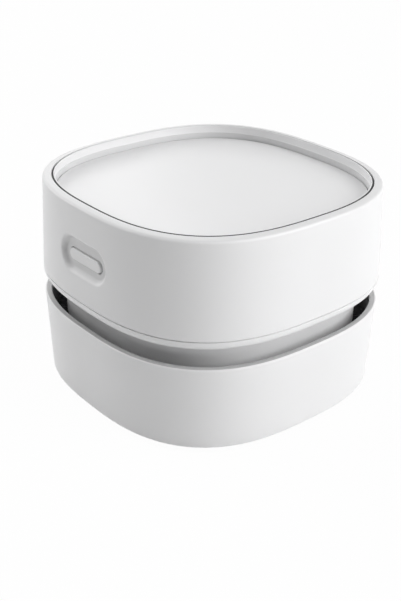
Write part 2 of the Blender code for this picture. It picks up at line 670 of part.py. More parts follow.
def add_neck():
    """Fan housing that hangs under the head: tapered wall, flange on top, ceiling that carries the motor."""
    profile = [
        (neck_outer(NECK_BOTTOM_Z), NECK_BOTTOM_Z, SQUIRCLE_POWER),
        (neck_outer(NECK_FLANGE_Z), NECK_FLANGE_Z, SQUIRCLE_POWER),
        (NECK_TOP_HALF + NECK_FLANGE, NECK_FLANGE_Z, SQUIRCLE_POWER),
        (NECK_TOP_HALF + NECK_FLANGE, NECK_TOP_Z, SQUIRCLE_POWER),
        (neck_inner(NECK_FLANGE_Z), NECK_TOP_Z, SQUIRCLE_POWER),
        (neck_inner(FAN_CEILING_TOP_Z), FAN_CEILING_TOP_Z, SQUIRCLE_POWER),
        (SHAFT_OPENING_RADIUS, FAN_CEILING_TOP_Z, ROUND_POWER),
        (SHAFT_OPENING_RADIUS, FAN_CEILING_Z, ROUND_POWER),
        (neck_inner(FAN_CEILING_Z), FAN_CEILING_Z, SQUIRCLE_POWER),
        (neck_inner(NECK_BOTTOM_Z), NECK_BOTTOM_Z, SQUIRCLE_POWER),
    ]
    neck = loft("neck_housing", [squircle(half, z, power=power) for half, z, power in profile], NECK_FINISH)
    outlets = bmesh.new()
    top = GRILLE_Z - FIT_GAP
    low = top - OUTLET_HEIGHT
    outside = NECK_TOP_HALF + CUT_OVERRUN
    inside = NECK_BOTTOM_HALF - NECK_WALL - OUTLET_HEIGHT - CUT_OVERRUN
    half = OUTLET_LENGTH / 2.0
    for share in OUTLET_PLACE_SHARES:
        middle = share * OUTLET_PITCH
        for near, far in ((inside, outside), (-outside, -inside)):
            box(outlets, (middle - half, near, low), (middle + half, far, top))
            box(outlets, (near, middle - half, low), (far, middle + half, top))
    combine(neck, helper("neck_outlets", outlets), "DIFFERENCE")
    combine(neck, boss_clearance("neck_boss_clearance"), "DIFFERENCE")


def boss_clearance(name):
    """Room for the head's screw bosses, which come down past the neck flange and the cover's lap."""
    build = bmesh.new()
    radius = SCREW_RADIUS + FIT_GAP + BOSS_WALL + FIT_GAP
    for x, y in corners(COVER_SCREW_DIAGONAL):
        rod(build, radius, (x, y, COVER_TOP_Z + LINE_GAP), (x, y, NECK_TOP_Z + CUT_OVERRUN))
    return helper(name, build)


def add_lower_cover():
    """Cover under the head: round lower edge, flat floor with the neck's opening, lap inside the shell."""
    opening = NECK_TOP_HALF + FIT_GAP
    lap_outer = head_inner(COVER_TOP_Z) - FIT_GAP
    seam_half = head_outer(HEAD_SEAM_Z)
    rise = HEAD_SEAM_Z - HEAD_UNDERSIDE_Z
    bulge = seam_half - COVER_EDGE_HALF
    edge = []
    for share in (0.0, 1.0 / 3.0, 2.0 / 3.0, 1.0):
        turn = math.pi / 2.0 * share
        edge.append((COVER_EDGE_HALF + bulge * math.sin(turn), HEAD_UNDERSIDE_Z + rise * (1.0 - math.cos(turn))))
    profile = edge + [
        (lap_outer, HEAD_SEAM_Z),
        (lap_outer, COVER_TOP_Z + COVER_LAP_HEIGHT),
        (lap_outer - COVER_LAP_WIDTH, COVER_TOP_Z + COVER_LAP_HEIGHT),
        (lap_outer - COVER_LAP_WIDTH, COVER_TOP_Z),
        (opening, COVER_TOP_Z),
        (opening, HEAD_UNDERSIDE_Z),
    ]
    cover = loft("lower_cover", [squircle(half, z) for half, z in profile], WHITE_SHELL)
    holes = bmesh.new()
    for spot in corners(COVER_SCREW_DIAGONAL):
        screw_hole(holes, spot, HEAD_UNDERSIDE_Z, COVER_TOP_Z)
    combine(cover, boss_clearance("cover_boss_clearance"), "DIFFERENCE")
    combine(cover, helper("cover_screw_holes", holes), "DIFFERENCE")


def button_surface():
    """Distance of the outer wall from the middle at the button's height."""
    return head_outer(BUTTON_Z)


def panel_top_z():
    return HEIGHT - PANEL_RECESS


def shelf_top_z():
    return panel_top_z() - PANEL_THICKNESS - FIT_GAP - BEZEL_LIP_THICKNESS - FIT_GAP


def add_head_shell():
    """Outer wall of the head with its rounded rim, the shelf under the panel, bosses, dish and socket hole."""
    bottom_z = HEAD_SEAM_Z + FIT_GAP
    rim_centre_z = HEIGHT - HEAD_RIM_FILLET
    rim_centre_half = head_outer(rim_centre_z) - HEAD_RIM_FILLET
    rim_arc = []
    for share in (0.0, 0.25, 0.5, 0.75, 1.0):
        turn = math.pi / 2.0 * share
        rim_arc.append((rim_centre_half + HEAD_RIM_FILLET * math.cos(turn),
                        rim_centre_z + HEAD_RIM_FILLET * math.sin(turn)))
    shelf_z = shelf_top_z()
    shelf_under_z = shelf_z - PANEL_SHELF_THICKNESS
    gusset_z = shelf_under_z - HEAD_WALL
    profile = [(head_outer(bottom_z), bottom_z)] + rim_arc + [
        (RIM_INNER_HALF, HEIGHT),
        (RIM_INNER_HALF, shelf_z),
        (RIM_INNER_HALF - PANEL_SHELF_WIDTH, shelf_z),
        (RIM_INNER_HALF - PANEL_SHELF_WIDTH, shelf_under_z),
        (head_inner(gusset_z) - FIT_GAP, shelf_under_z),
        (head_inner(gusset_z), gusset_z),
        (head_inner(bottom_z), bottom_z),
    ]
    shell = loft("head_shell", [squircle(half, z) for half, z in profile], WHITE_SHELL)
    additions = bmesh.new()
    cuts = bmesh.new()
    tip_z = HEAD_UNDERSIDE_Z + SCREW_RECESS - FIT_GAP + SCREW_LENGTH
    for x, y in corners(COVER_SCREW_DIAGONAL):
        foot_z = COVER_TOP_Z + FIT_GAP
        top = tip_z + FIT_GAP + BOSS_WALL
        rod(additions, SCREW_RADIUS + FIT_GAP + BOSS_WALL, (x, y, foot_z), (x, y, top))
        rod(cuts, SCREW_RADIUS + FIT_GAP, (x, y, foot_z - CUT_OVERRUN), (x, y, tip_z + FIT_GAP))
    for side in (1, -1):
        x = side * BOARD_POST_X
        wall_y = -(button_surface() - HEAD_WALL / 2.0 - JOIN_DEPTH)
        rod(additions, BOARD_POST_RADIUS, (x, wall_y, BUTTON_Z), (x, board_front_y() - FIT_GAP, BUTTON_Z))
        lug_x = side * LUG_X
        back_y = head_inner(LUG_TOP_Z) + HEAD_WALL / 2.0
        box(additions, (lug_x - LUG_WIDTH / 2.0, back_y - LUG_LENGTH, LUG_TOP_Z - LUG_THICKNESS),
            (lug_x + LUG_WIDTH / 2.0, back_y, LUG_TOP_Z))
    combine(shell, helper("head_bosses", additions), "UNION")
    combine(shell, helper("head_pilot_holes", cuts), "DIFFERENCE")
    combine(shell, dish_cutter(), "DIFFERENCE")
    combine(shell, socket_cutter(), "DIFFERENCE")


def dish_floor_y():
    return -(button_surface() - DISH_DEPTH)


def dish_cutter():
    """Soft-edged pill dish with the button's own opening through its floor."""
    outside_y = -(button_surface() + CUT_OVERRUN)
    floor_y = dish_floor_y()
    inside_y = -(button_surface() - HEAD_WALL - CUT_OVERRUN)
    flare = CUT_OVERRUN * DISH_WALL / DISH_DEPTH
    hole_length = BUTTON_LENGTH + 2.0 * FIT_GAP
    hole_height = BUTTON_HEIGHT + 2.0 * FIT_GAP
    steps = [
        (DISH_LENGTH + 2.0 * flare, DISH_HEIGHT + 2.0 * flare, outside_y),
        (DISH_LENGTH, DISH_HEIGHT, -button_surface()),
        (DISH_LENGTH - 2.0 * DISH_WALL, DISH_HEIGHT - 2.0 * DISH_WALL, floor_y),
        (hole_length, hole_height, floor_y),
        (hole_length, hole_height, inside_y),
    ]
    return helper("button_dish", skin([pill(length, height, y, BUTTON_Z) for length, height, y in steps], False))


def socket_cutter():
    """Opening for the charging socket in the back wall."""
    back = head_outer(SOCKET_Z)
    length = SOCKET_WIDTH + 2.0 * FIT_GAP
    height = SOCKET_HEIGHT + 2.0 * FIT_GAP
    ends = (back - HEAD_WALL - CUT_OVERRUN, back + CUT_OVERRUN)
    return helper("socket_opening", skin([pill(length, height, y, SOCKET_Z) for y in ends], False))


def bezel_outer():
    return RIM_INNER_HALF - LINE_GAP - RIM_SEAL_WIDTH - LINE_GAP


def bezel_lower_half():
    return bezel_outer() - BEZEL_LEAN - BEZEL_STEP


def add_bezel():
    """Frame round the top panel: leaning upper band, fine step, upright lower band, lip under the panel."""
    foot_z = shelf_top_z() + FIT_GAP
    lip_z = foot_z + BEZEL_LIP_THICKNESS
    band_z = HEIGHT - BEZEL_UPPER_BAND
    outer = bezel_outer()
    profile = [
        (outer, foot_z),
        (outer, HEIGHT - LINE_GAP),
        (outer - LINE_GAP, HEIGHT - LINE_GAP),
        (outer - BEZEL_LEAN, band_z),
        (bezel_lower_half(), band_z - BEZEL_STEP),
        (bezel_lower_half(), lip_z),
        (bezel_lower_half() - BEZEL_LIP, lip_z),
        (bezel_lower_half() - BEZEL_LIP, foot_z),
    ]
    loft("top_bezel", [squircle(half, z) for half, z in profile], WHITE_SHELL)


def add_rim_seal():
    """Thin dark strip pressed between the rim and the bezel, its top sloping outwards."""
    outer = RIM_INNER_HALF - LINE_GAP
    inner = outer - RIM_SEAL_WIDTH
    low = HEIGHT - RIM_SEAL_HEIGHT
    profile = [(outer, low), (outer, HEIGHT - RIM_SEAL_WIDTH), (inner, HEIGHT - LINE_GAP), (inner, low)]
    loft("rim_seal", [squircle(half, z) for half, z in profile], DARK_SEAL)


def add_top_panel():
    top = panel_top_z()
    half = bezel_lower_half() - FIT_GAP
    rings = [
        squircle(half, top - PANEL_THICKNESS),
        squircle(half, top - LINE_GAP),
        squircle(half - LINE_GAP, top),
    ]
    loft("top_panel", rings, PANEL_FINISH, ring_shaped=False)


def board_front_y():
    """Front face of the main board, behind the switch that the button works."""
    return switch_front_y() + SWITCH_DEPTH + FIT_GAP


def button_face_y():
    return -(button_surface() - BUTTON_FACE_DEPTH)


def button_flange_y():
    return -(button_surface() - HEAD_WALL) + FIT_GAP


def button_back_y():
    return button_flange_y() + BUTTON_FLANGE_THICKNESS


def plunger_front_y():
    return button_back_y() + STEM_LENGTH + FIT_GAP


def switch_front_y():
    return plunger_front_y() + PLUNGER_EXPOSED


def add_button():
    """Pill-shaped cap with a flange behind the wall and a stem that reaches the switch."""
    length, height = BUTTON_LENGTH, BUTTON_HEIGHT
    face, flange, back = button_face_y(), button_flange_y(), button_back_y()
    wide_length, wide_height = length + 2.0 * BUTTON_FLANGE, height + 2.0 * BUTTON_FLANGE
    stem = 2.0 * STEM_RADIUS
    steps = [
        (length - 2.0 * BUTTON_EDGE, height - 2.0 * BUTTON_EDGE, face),
        (length, height, face + BUTTON_EDGE),
        (length, height, flange),
        (wide_length, wide_height, flange),
        (wide_length, wide_height, back),
        (stem + LINE_GAP, stem, back),
        (stem + LINE_GAP, stem, back + STEM_LENGTH),
    ]
    button = loft("power_button", [pill(a, b, y, BUTTON_Z) for a, b, y in steps], WHITE_SHELL, ring_shaped=False)
    move_origin(button, (0.0, face, BUTTON_Z))
    half_turn = math.pi / 2.0
    profile = [(0.0, 0.0), (STEM_RADIUS, 0.0), (STEM_RADIUS, -PLUNGER_LENGTH), (0.0, -PLUNGER_LENGTH)]
    turned("switch_plunger", profile, DARK_SEAL, closed=False, steps=16,
           location=(0.0, plunger_front_y(), BUTTON_Z), rotation=(half_turn, 0.0, 0.0))


def move_origin(item, point):
    """Puts an object's origin on its joint axis and leaves its shape where it is."""
    for vert in item.data.vertices:
        vert.co = [value - shift for value, shift in zip(vert.co, point)]
    item.location = point


def add_switch_and_board():
    front, depth = switch_front_y(), SWITCH_DEPTH
    switch = block("tact_switch", (SWITCH_SIZE, depth, SWITCH_SIZE), (0.0, front + depth / 2.0, BUTTON_Z), DARK_SEAL)
    pocket = bmesh.new()
    pocket_end = front + PLUNGER_LENGTH - PLUNGER_EXPOSED + BUTTON_TRAVEL + FIT_GAP
    rod(pocket, STEM_RADIUS + FIT_GAP, (0.0, front - CUT_OVERRUN, BUTTON_Z), (0.0, pocket_end, BUTTON_Z))
    combine(switch, helper("switch_pocket", pocket), "DIFFERENCE")
    middle_y = board_front_y() + BOARD_THICKNESS / 2.0
    block("main_board", (MAIN_BOARD_LENGTH, BOARD_THICKNESS, MAIN_BOARD_HEIGHT), (0.0, middle_y, BUTTON_Z),
          BOARD_FINISH)


def socket_mouth_y():
    return head_outer(SOCKET_Z) - SOCKET_INSET


def add_charging_socket():
    """Metal charging socket with its contact tongue, on a small board that rests on two lugs."""
    mouth = socket_mouth_y()
    back = mouth - SOCKET_LENGTH
    width, height = SOCKET_WIDTH, SOCKET_HEIGHT
    inner_width, inner_height = width - 2.0 * SOCKET_WALL, height - 2.0 * SOCKET_WALL
    floor = back + SOCKET_WALL * 2.0
    tongue_end = mouth - SOCKET_INSET
    steps = [
        (width, height, back),
        (width, height, mouth),
        (inner_width, inner_height, mouth),
        (inner_width, inner_height, floor),
        (SOCKET_TONGUE_WIDTH, SOCKET_TONGUE, floor),
        (SOCKET_TONGUE_WIDTH, SOCKET_TONGUE, tongue_end),
    ]
    rings = [pill(a, b, y, SOCKET_Z, arc_steps=4) for a, b, y in steps]
    loft("charging_socket", rings, STEEL, ring_shaped=False)
    low = CHARGE_BOARD_Z
    front = mouth - SOCKET_INSET - HEAD_WALL - CHARGE_BOARD_LENGTH
    block("charge_board", (CHARGE_BOARD_WIDTH, CHARGE_BOARD_LENGTH, BOARD_THICKNESS),
          (0.0, front + CHARGE_BOARD_LENGTH / 2.0, low + BOARD_THICKNESS / 2.0), BOARD_FINISH)


def filter_low_z():
    return NECK_BOTTOM_Z - FILTER_DROP


def filter_top_z():
    return filter_low_z() + FILTER_FRAME_HEIGHT


def add_filter():
    """Frame pushed into the mouth of the neck, with a thin filter pad on its inner seat."""
    low, top = filter_low_z(), filter_top_z()
    seat = low + FILTER_SEAT
    inner = FILTER_HALF - FILTER_FRAME_WIDTH
    seat_half = inner + FILTER_SEAT_WIDTH
    profile = [
        (FILTER_HALF, low), (FILTER_HALF, top), (seat_half, top), (seat_half, seat), (inner, seat), (inner, low),
    ]
    loft("filter_frame", [squircle(half, z) for half, z in profile], FAN_FINISH)
    pad_low = seat + FIT_GAP
    pad_half = seat_half - FIT_GAP
    loft("filter_pad", [squircle(pad_half, pad_low), squircle(pad_half, pad_low + FILTER_PAD_THICKNESS)],
         FILTER_CLOTH, ring_shaped=False)


def intake_low_z():
    return filter_top_z() + FIT_GAP


def intake_lip_z():
    return intake_low_z() + INTAKE_THICKNESS + INTAKE_LIP_HEIGHT


def add_intake_plate():
    """Plate under the fan with a round inlet and a raised lip, which feeds the fan's eye."""
    low = intake_low_z()
    top = low + INTAKE_THICKNESS
    half = neck_inner(low) - FIT_GAP
    lip = INTAKE_RADIUS + INTAKE_LIP
    rings = [
        squircle(half, low),
        squircle(half, top),
        squircle(lip, top, power=ROUND_POWER),
        squircle(lip, intake_lip_z(), power=ROUND_POWER),
        squircle(INTAKE_RADIUS, intake_lip_z(), power=ROUND_POWER),
        squircle(INTAKE_RADIUS, low, power=ROUND_POWER),
    ]
    loft("intake_plate", rings, NECK_FINISH)


def fan_top_z():
    return FAN_CEILING_Z - FAN_TOP_CLEARANCE


def add_fan():
    """Open centrifugal impeller: flat disc on top, hub, backward-curved blades hanging below."""
    top = fan_top_z()
    disc_low = top - FAN_DISC
    bore = SHAFT_RADIUS + FIT_GAP
    hub_low = top - FAN_HUB_DROP
    profile = [
        (bore, top), (FAN_RADIUS, top), (FAN_RADIUS, disc_low), (FAN_HUB_RADIUS, disc_low),
        (FAN_HUB_RADIUS, hub_low), (bore, hub_low),
    ]
    fan = turned("impeller", profile, FAN_FINISH, closed=True, steps=36)
    blade_low = intake_lip_z() + FIT_GAP
    half = FAN_BLADE_THICKNESS / 2.0
    camber_steps = 6
    blades = bmesh.new()
    for number in range(FAN_BLADES):
        start = math.tau * number / FAN_BLADES
        left, right = [], []
        for step in range(camber_steps + 1):
            share = step / camber_steps
            reach = between(FAN_BLADE_ROOT, FAN_RADIUS - FIT_GAP, share)
            angle = start - FAN_BLADE_SWEEP * share
            slope = math.atan2(-FAN_BLADE_SWEEP * reach, FAN_RADIUS - FIT_GAP - FAN_BLADE_ROOT)
            side = angle + slope + math.pi / 2.0
            x, y = reach * math.cos(angle), reach * math.sin(angle)
            left.append((x + half * math.cos(side), y + half * math.sin(side)))
            right.append((x - half * math.cos(side), y - half * math.sin(side)))
        outline = left + right[::-1]
        floor = [blades.verts.new((x, y, blade_low)) for x, y in outline]
        roof = [blades.verts.new((x, y, disc_low + FAN_DISC / 2.0)) for x, y in outline]
        blades.faces.new(floor)
        blades.faces.new(roof)
        for index in range(len(outline)):
            after = (index + 1) % len(outline)
            blades.faces.new((floor[index], floor[after], roof[after], roof[index]))
    combine(fan, helper("fan_blades", blades), "UNION")
    shaft_top = motor_low_z() + MOTOR_SHAFT_POCKET - FIT_GAP
    shaft_low = hub_low - FIT_GAP
    shaft = [(0.0, shaft_top), (SHAFT_RADIUS, shaft_top), (SHAFT_RADIUS, shaft_low), (0.0, shaft_low)]
    turned("motor_shaft", shaft, STEEL, closed=False, steps=16)


def damper_low_z():
    return FAN_CEILING_TOP_Z + FIT_GAP


def motor_low_z():
    """Underside of the motor can, without the small boss round its shaft."""
    return damper_low_z() + DAMPER_THICKNESS + FIT_GAP


def add_motor():
    low = motor_low_z()
    top = PANEL_UNDERSIDE_Z - MOTOR_HEADROOM - END_CAP_HUB_HEIGHT - END_CAP_THICKNESS - FIT_GAP
    bore = SHAFT_RADIUS + FIT_GAP
    can = [
        (0.0, top), (MOTOR_RADIUS - MOTOR_EDGE, top), (MOTOR_RADIUS, top - MOTOR_EDGE),
        (MOTOR_RADIUS, low + MOTOR_EDGE), (MOTOR_RADIUS - MOTOR_EDGE, low), (MOTOR_BOSS_RADIUS, low),
        (MOTOR_BOSS_RADIUS, low - MOTOR_BOSS_HEIGHT), (bore, low - MOTOR_BOSS_HEIGHT),
        (bore, low + MOTOR_SHAFT_POCKET), (0.0, low + MOTOR_SHAFT_POCKET),
    ]
    turned("motor_can", can, STEEL, closed=False)
    ring_low = damper_low_z()
    ring_top = ring_low + DAMPER_THICKNESS
    ring = [(DAMPER_BORE, ring_top), (MOTOR_RADIUS, ring_top), (MOTOR_RADIUS, ring_low), (DAMPER_BORE, ring_low)]
    turned("motor_damper", ring, DARK_SEAL, closed=True)
    cap_low = top + FIT_GAP
    cap_top = cap_low + END_CAP_THICKNESS
    cap = [
        (0.0, cap_top + END_CAP_HUB_HEIGHT), (END_CAP_HUB_RADIUS, cap_top + END_CAP_HUB_HEIGHT),
        (END_CAP_HUB_RADIUS, cap_top), (MOTOR_RADIUS - MOTOR_EDGE, cap_top), (MOTOR_RADIUS - MOTOR_EDGE, cap_low),
        (0.0, cap_low),
    ]
    turned("motor_end_cap", cap, FAN_FINISH, closed=False)


def cell_z():
    """Height of the cell's axis: it lies just above the neck flange."""
    return CELL_BED_Z + CELL_RADIUS


def add_battery():
    """Cylindrical cell lying beside the motor, in a cradle that stands on the fan ceiling."""
    half = CELL_LENGTH / 2.0
    button_end = half + CELL_BUTTON_HEIGHT
    profile = [
        (0.0, button_end), (CELL_BUTTON_RADIUS, button_end), (CELL_BUTTON_RADIUS, half),
        (CELL_RADIUS - CELL_EDGE, half), (CELL_RADIUS, half - CELL_EDGE), (CELL_RADIUS, CELL_EDGE - half),
        (CELL_RADIUS - CELL_EDGE, -half), (0.0, -half),
    ]
    turned("battery_cell", profile, CELL_FINISH, closed=False, steps=24,
           location=(CELL_PLACE_X, 0.0, cell_z()), rotation=(math.pi / 2.0, 0.0, 0.0))
    inner = CELL_RADIUS + FIT_GAP
    outer = inner + CRADLE_WALL
    steps = 8
    trough, underside = [], []
    for step in range(steps + 1):
        angle = between(-CRADLE_HALF_ANGLE, CRADLE_HALF_ANGLE, step / steps)
        trough.append((inner * math.sin(angle), -inner * math.cos(angle)))
        underside.append((outer * math.sin(angle), -outer * math.cos(angle)))
    leg_foot = FAN_CEILING_TOP_Z + FIT_GAP - cell_z()
    leg_out = outer * math.sin(CRADLE_HALF_ANGLE) - CRADLE_LEG_INSET
    leg_in = leg_out - CRADLE_WALL

    def under(x):
        return -math.sqrt(outer ** 2 - x ** 2)

    low_side = [point for point in underside if abs(point[0]) < leg_in]
    outline = trough + [underside[-1], (leg_out, under(leg_out)), (leg_out, leg_foot), (leg_in, leg_foot),
                        (leg_in, under(leg_in))]
    outline += low_side[::-1]
    outline += [(-leg_in, under(leg_in)), (-leg_in, leg_foot), (-leg_out, leg_foot), (-leg_out, under(leg_out)),
                underside[0]]
    build = bmesh.new()
    front = build.faces.new([build.verts.new((x, -CRADLE_LENGTH / 2.0, z)) for x, z in outline])
    grown = bmesh.ops.extrude_face_region(build, geom=[front])
    moved = [item for item in grown["geom"] if isinstance(item, bmesh.types.BMVert)]
    bmesh.ops.translate(build, vec=(0.0, CRADLE_LENGTH, 0.0), verts=moved)
    bmesh.ops.recalc_face_normals(build, faces=build.faces[:])
    place("battery_cradle", to_mesh("battery_cradle", build), FAN_FINISH, location=(CELL_PLACE_X, 0.0, cell_z()))


def add_screws():
    names = ("back_right", "back_left", "front_left", "front_right")
    for name, spot in zip(names, corners(BASE_SCREW_DIAGONAL)):
        add_screw("base_screw_" + name, spot, PLATE_UNDERSIDE_Z)
    for name, spot in zip(names, corners(COVER_SCREW_DIAGONAL)):
        add_screw("cover_screw_" + name, spot, HEAD_UNDERSIDE_Z)


add_base_shell()
add_bottom_plate()
add_brushes()
add_feet()
add_seal()
add_exhaust_ring()
add_filter()
add_intake_plate()
add_neck()
add_fan()
add_motor()
add_battery()
add_lower_cover()
add_head_shell()
add_bezel()
add_rim_seal()
add_top_panel()
add_button()
add_switch_and_board()
add_charging_socket()
add_screws()
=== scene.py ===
import json
import math

import bmesh
import bpy
from mathutils import Matrix, Vector


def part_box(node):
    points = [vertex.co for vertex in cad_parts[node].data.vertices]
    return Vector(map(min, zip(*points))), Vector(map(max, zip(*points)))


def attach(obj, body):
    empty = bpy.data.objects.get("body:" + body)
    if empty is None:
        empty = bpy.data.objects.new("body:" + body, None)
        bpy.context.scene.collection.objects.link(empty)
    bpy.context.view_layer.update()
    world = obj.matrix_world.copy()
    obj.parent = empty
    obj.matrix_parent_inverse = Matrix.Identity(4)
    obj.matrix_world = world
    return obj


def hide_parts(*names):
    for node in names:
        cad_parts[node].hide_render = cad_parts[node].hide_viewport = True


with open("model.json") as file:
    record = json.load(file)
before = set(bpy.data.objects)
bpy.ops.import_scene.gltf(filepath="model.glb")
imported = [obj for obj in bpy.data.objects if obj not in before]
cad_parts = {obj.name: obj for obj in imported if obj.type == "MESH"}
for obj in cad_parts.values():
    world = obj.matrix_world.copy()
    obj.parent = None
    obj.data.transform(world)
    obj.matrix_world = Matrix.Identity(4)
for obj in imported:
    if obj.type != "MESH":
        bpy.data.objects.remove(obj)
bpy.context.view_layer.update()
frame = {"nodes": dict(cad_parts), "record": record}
MM = 0.001


# Camera. It stands where the photograph was taken from, to the right of the button and above the rim.
# Its place was worked out from the outlines of the object, with no shift of the lens.
def turn_about(axis, degrees, *vectors):
    spin = Matrix.Rotation(math.radians(degrees), 3, axis)
    return [spin @ vector for vector in vectors]


camera_around, camera_above = math.radians(49.8874), math.radians(25.4666)
camera_back = Vector((math.sin(camera_around) * math.cos(camera_above),
                      -math.cos(camera_around) * math.cos(camera_above), math.sin(camera_above)))
camera_right = Vector((math.cos(camera_around), math.sin(camera_around), 0.0))
camera_up = camera_back.cross(camera_right)
camera_place = Vector((0.0, 0.0, 28.497 * MM)) + camera_back * 274.28 * MM
camera_back, camera_right = turn_about(camera_up, 0.5217, camera_back, camera_right)
camera_back, camera_up = turn_about(camera_right, -1.622, camera_back, camera_up)
camera_right, camera_up = turn_about(camera_back, 1.0481, camera_right, camera_up)

lens = bpy.data.cameras.new("photo_camera")
lens.sensor_width = 36.0
lens.lens = 59.555
lens.clip_start = 0.01
camera = bpy.data.objects.new("photo_camera", lens)
facing = Matrix((camera_right, camera_up, camera_back)).transposed()
camera.matrix_world = Matrix.Translation(camera_place) @ facing.to_4x4()
bpy.context.scene.collection.objects.link(camera)
bpy.context.scene.camera = camera
bpy.context.scene.view_settings.view_transform = "Standard"


# Base shell. The tapering outer wall of the base, moulded in white plastic with a fine eroded surface.
# It is a square-round ring: one ledge inside carries the exhaust ring and a lower one meets the bottom plate.
def moulded_surface_group():
    """Faint tone, gloss and grain of moulded plastic, as values that change over the surface."""
    group = bpy.data.node_groups.new("moulded_surface", "ShaderNodeTree")
    sockets = group.interface
    for name, kind, value in (("Colour", "NodeSocketColor", (0.8, 0.8, 0.8, 1.0)),
                              ("Roughness", "NodeSocketFloat", 0.4),
                              ("Grain Scale", "NodeSocketFloat", 5200.0),
                              ("Tone Change", "NodeSocketFloat", 0.02),
                              ("Gloss Change", "NodeSocketFloat", 0.06)):
        socket = sockets.new_socket(name=name, in_out="INPUT", socket_type=kind)
        socket.default_value = value
    for name, kind in (("Colour", "NodeSocketColor"), ("Roughness", "NodeSocketFloat"),
                       ("Grain", "NodeSocketFloat")):
        sockets.new_socket(name=name, in_out="OUTPUT", socket_type=kind)
    nodes, links = group.nodes, group.links
    given, result = nodes.new("NodeGroupInput"), nodes.new("NodeGroupOutput")
    place = nodes.new("ShaderNodeTexCoord")
    cloud = nodes.new("ShaderNodeTexNoise")
    cloud.inputs["Scale"].default_value = 45.0
    cloud.inputs["Detail"].default_value = 4.0
    grain = nodes.new("ShaderNodeTexNoise")
    grain.inputs["Detail"].default_value = 2.0
    for texture in (cloud, grain):
        links.new(place.outputs["Object"], texture.inputs["Vector"])
    links.new(given.outputs["Grain Scale"], grain.inputs["Scale"])
    swing = nodes.new("ShaderNodeMath")
    swing.operation = "SUBTRACT"
    swing.inputs[1].default_value = 0.5
    links.new(cloud.outputs["Fac"], swing.inputs[0])
    tone = nodes.new("ShaderNodeMath")
    tone.operation = "MULTIPLY_ADD"
    tone.inputs[2].default_value = 1.0
    links.new(swing.outputs[0], tone.inputs[0])
    links.new(given.outputs["Tone Change"], tone.inputs[1])
    tint = nodes.new("ShaderNodeVectorMath")
    tint.operation = "SCALE"
    links.new(given.outputs["Colour"], tint.inputs[0])
    links.new(tone.outputs[0], tint.inputs["Scale"])
    links.new(tint.outputs[0], result.inputs["Colour"])
    gloss = nodes.new("ShaderNodeMath")
    gloss.operation = "MULTIPLY_ADD"
    links.new(swing.outputs[0], gloss.inputs[0])
    links.new(given.outputs["Gloss Change"], gloss.inputs[1])
    links.new(given.outputs["Roughness"], gloss.inputs[2])
    links.new(gloss.outputs[0], result.inputs["Roughness"])
    links.new(grain.outputs["Fac"], result.inputs["Grain"])
    return group


MOULDED = moulded_surface_group()


def moulded(name, colour, roughness, grain_scale=5200.0, grain_depth=0.004, tone=0.02, gloss=0.06, specular=0.5):
    """A moulded plastic, rubber or board: its colour and gloss vary a little and its grain is a fine bump."""
    material = bpy.data.materials.new(name)
    material.use_nodes = True
    nodes, links = material.node_tree.nodes, material.node_tree.links
    shader = nodes["Principled BSDF"]
    shader.inputs["Specular IOR Level"].default_value = specular
    surface = nodes.new("ShaderNodeGroup")
    surface.node_tree = MOULDED
    surface.inputs["Colour"].default_value = (*colour, 1.0)
    surface.inputs["Roughness"].default_value = roughness
    surface.inputs["Grain Scale"].default_value = grain_scale
    surface.inputs["Tone Change"].default_value = tone
    surface.inputs["Gloss Change"].default_value = gloss
    bump = nodes.new("ShaderNodeBump")
    bump.inputs["Strength"].default_value = 1.0
    bump.inputs["Distance"].default_value = grain_depth * MM
    links.new(surface.outputs["Grain"], bump.inputs["Height"])
    links.new(surface.outputs["Colour"], shader.inputs["Base Color"])
    links.new(surface.outputs["Roughness"], shader.inputs["Roughness"])
    links.new(bump.outputs["Normal"], shader.inputs["Normal"])
    return material


def with_painted_shade(name, colour, roughness, painted_shade_zones, **finish):
    """A moulded plastic with zones of painted shade. Each zone is a mask, made in the material's nodes, and a darker
    tint multiplied into the colour.
    """
    material = moulded(name, colour, roughness, **finish)
    nodes, links = material.node_tree.nodes, material.node_tree.links
    shader = nodes["Principled BSDF"]
    place = nodes.new("ShaderNodeTexCoord")
    parts = nodes.new("ShaderNodeSeparateXYZ")
    links.new(place.outputs["Object"], parts.inputs[0])
    for zone_of, tint in painted_shade_zones:
        blend = nodes.new("ShaderNodeMix")
        blend.data_type = "RGBA"
        blend.blend_type = "MULTIPLY"
        blend.inputs["B"].default_value = (*tint, 1.0)
        links.new(zone_of(nodes, links, parts), blend.inputs["Factor"])
        links.new(shader.inputs["Base Color"].links[0].from_socket, blend.inputs["A"])
        links.new(blend.outputs["Result"], shader.inputs["Base Color"])
    return material


def ramp(nodes, links, value, low, high):
    """0 below the low height, 1 above the high one, soft in between; both in millimetres."""
    node = nodes.new("ShaderNodeMapRange")
    node.interpolation_type = "SMOOTHSTEP"
    node.inputs["From Min"].default_value = low * MM
    node.inputs["From Max"].default_value = high * MM
    links.new(value, node.inputs["Value"])
    return node.outputs["Result"]


def maths(nodes, links):
    """A function that adds one Math node and gives its result; its values are numbers or sockets."""
    def worked(operation, first, second=None):
        node = nodes.new("ShaderNodeMath")
        node.operation = operation
        for place, value in enumerate((first, second)):
            if isinstance(value, (int, float)):
                node.inputs[place].default_value = value
            elif value is not None:
                links.new(value, node.inputs[place])
        return node.outputs[0]

    return worked


